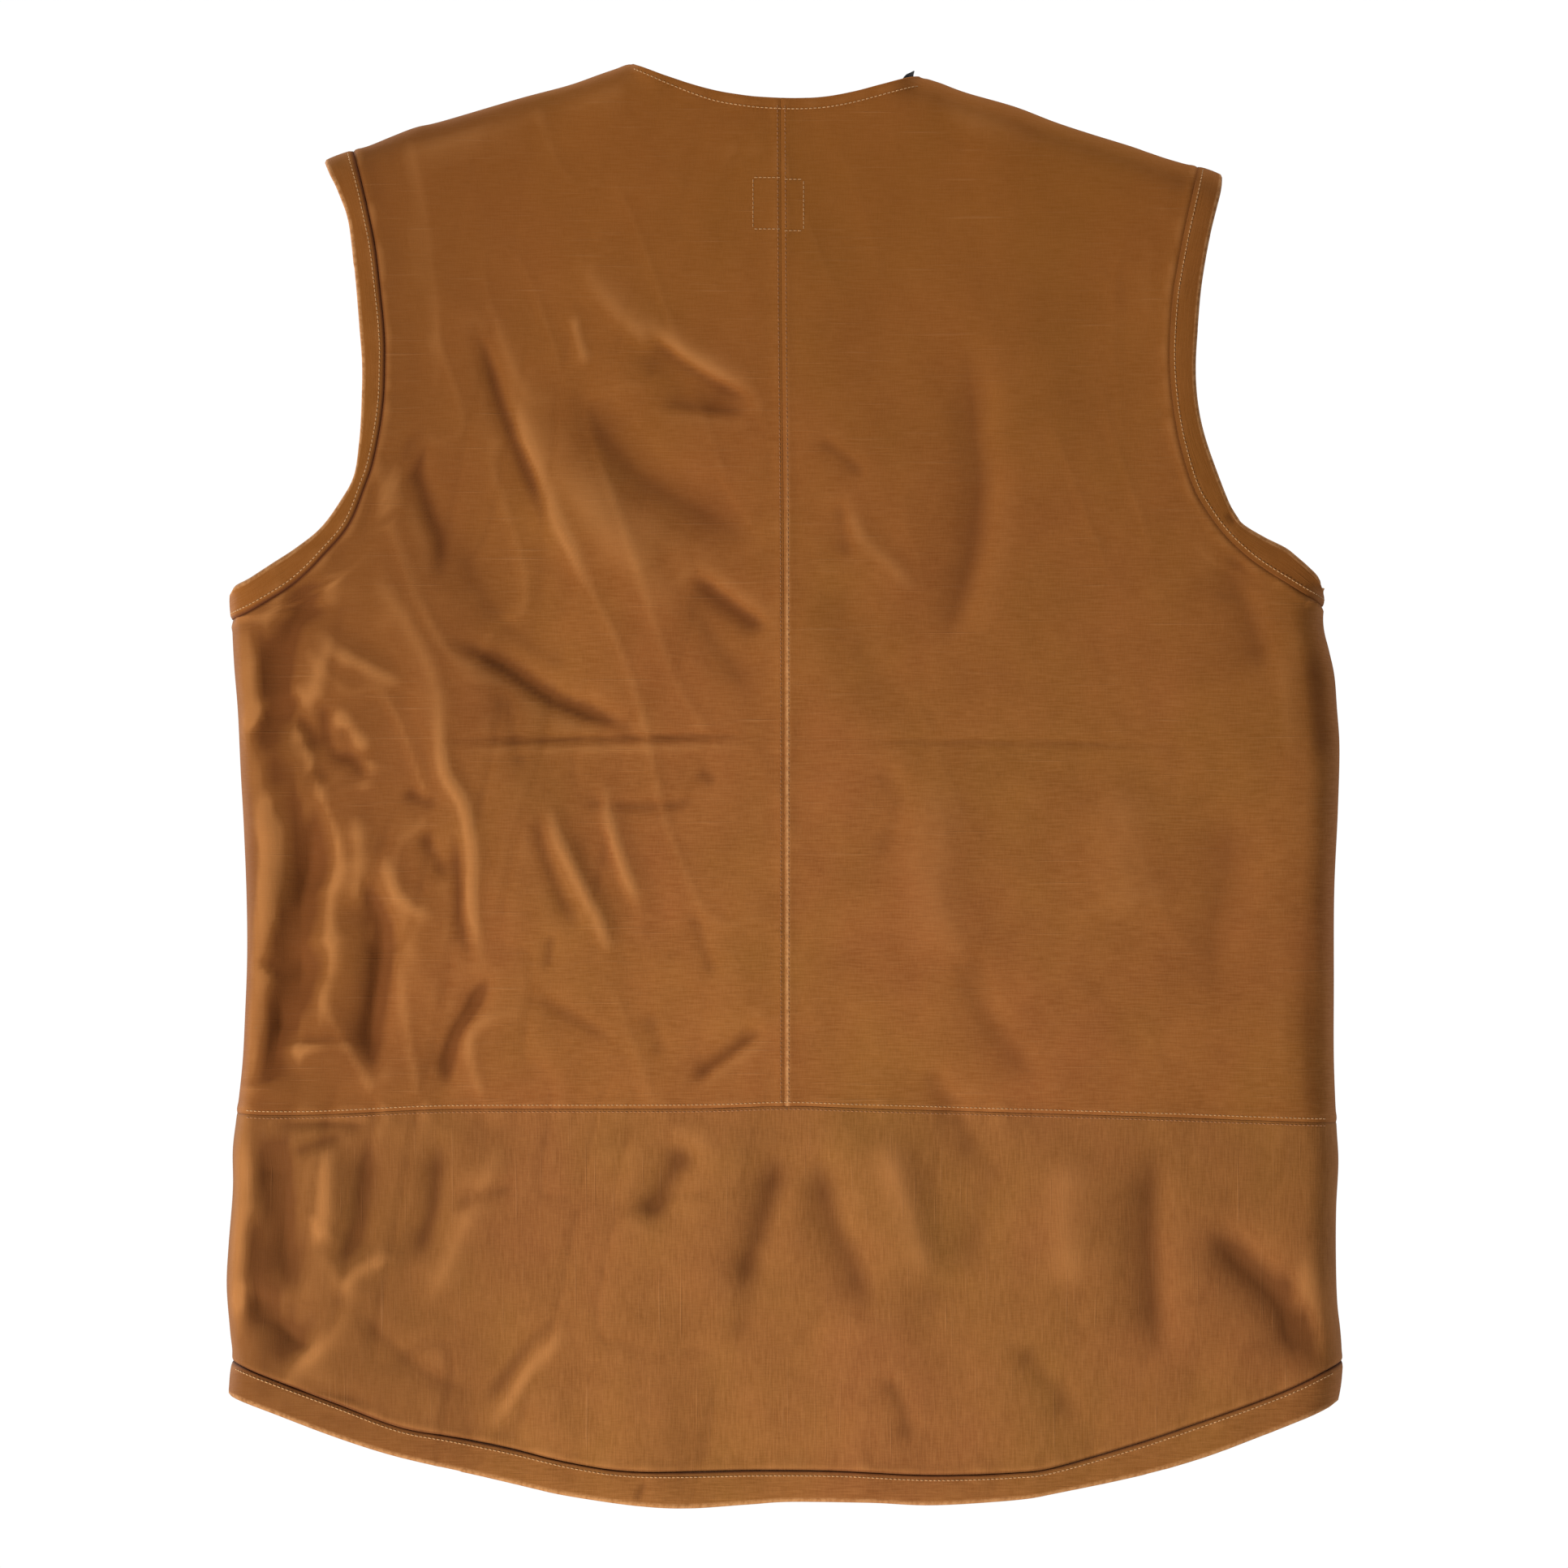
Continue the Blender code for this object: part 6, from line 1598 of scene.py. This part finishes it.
def floor():
    """A pale floor well below the hanging vest, fading out at its rim."""
    mesh = bpy.data.meshes.new("floor")
    n = 64
    verts = [(0, 0, -1.0)] + [(1.95 * cos(2 * pi * k / n), 1.95 * sin(2 * pi * k / n), -1.0) for k in range(n)]
    mesh.from_pydata(verts, [], [(0, 1 + k, 1 + (k + 1) % n) for k in range(n)])
    m = bpy.data.materials.new("floor_pale")
    m.use_nodes = True
    t = m.node_tree
    k = Tree(t)
    shader = t.nodes["Principled BSDF"]
    shader.inputs["Base Color"].default_value = (0.93, 0.925, 0.915, 1)
    shader.inputs["Roughness"].default_value = 0.9
    shader.inputs["Emission Color"].default_value = (1, 1, 1, 1)
    shader.inputs["Emission Strength"].default_value = 0.32
    co = k.node("ShaderNodeTexCoord").outputs["Object"]
    sep = k.node("ShaderNodeSeparateXYZ")
    k.put(sep.inputs[0], co)
    r = k.math("SQRT", k.math("ADD", k.math("POWER", sep.outputs[0], 2.0), k.math("POWER", sep.outputs[1], 2.0)))
    fade = k.span(r, 0.7, 1.85, 1.0, 0.0)
    k.put(shader.inputs["Alpha"], fade)
    mesh.materials.append(m)
    o = bpy.data.objects.new("floor", mesh)
    scene.collection.objects.link(o)
    o.visible_shadow = False


def area_light(name, at, aim, size, power, colour=(1, 1, 1)):
    d = bpy.data.lights.new(name, "AREA")
    d.shape = "DISK"
    d.size, d.energy, d.color = size, power, colour
    o = bpy.data.objects.new(name, d)
    scene.collection.objects.link(o)
    o.location = at
    o.rotation_euler = (Vector(aim) - Vector(at)).to_track_quat("-Z", "Y").to_euler()


world = bpy.data.worlds.new("studio")
world.use_nodes = True
world.node_tree.nodes["Background"].inputs[0].default_value = (1.0, 0.985, 0.965, 1)
world.node_tree.nodes["Background"].inputs[1].default_value = 0.24
scene.world = world
scene.view_settings.view_transform = "Standard"
area_light("key_back", (-1.75, -1.34, -1.60), (0.0, -0.03, -0.45), 0.70, 75, (1.0, 0.98, 0.95))
area_light("top_back", (0.3, -1.4, 1.4), (0.0, 0.0, -0.15), 1.2, 1.5, (0.97, 0.985, 1.0))
area_light("over", (0.1, -0.32, 1.35), (0.0, 0.0, 0.0), 0.8, 17, (0.97, 0.985, 1.0))
area_light("key_front", (-2.1, 1.7, 0.45), (0.0, 0.03, -0.38), 1.0, 88, (1.0, 0.985, 0.96))
area_light("fill_right", (2.6, 1.2, 0.2), (0.0, 0.0, -0.4), 1.6, 30, (0.97, 0.985, 1.0))
backdrop()
floor()

# ---------------------------------------------------------------- declarations and size
for s in SIDES:
    declare(backs[s][0], backs[s][1], -1)
    declare(fronts[s][0], fronts[s][1], 1)
declare(tail_obj, tail_grid, -1)
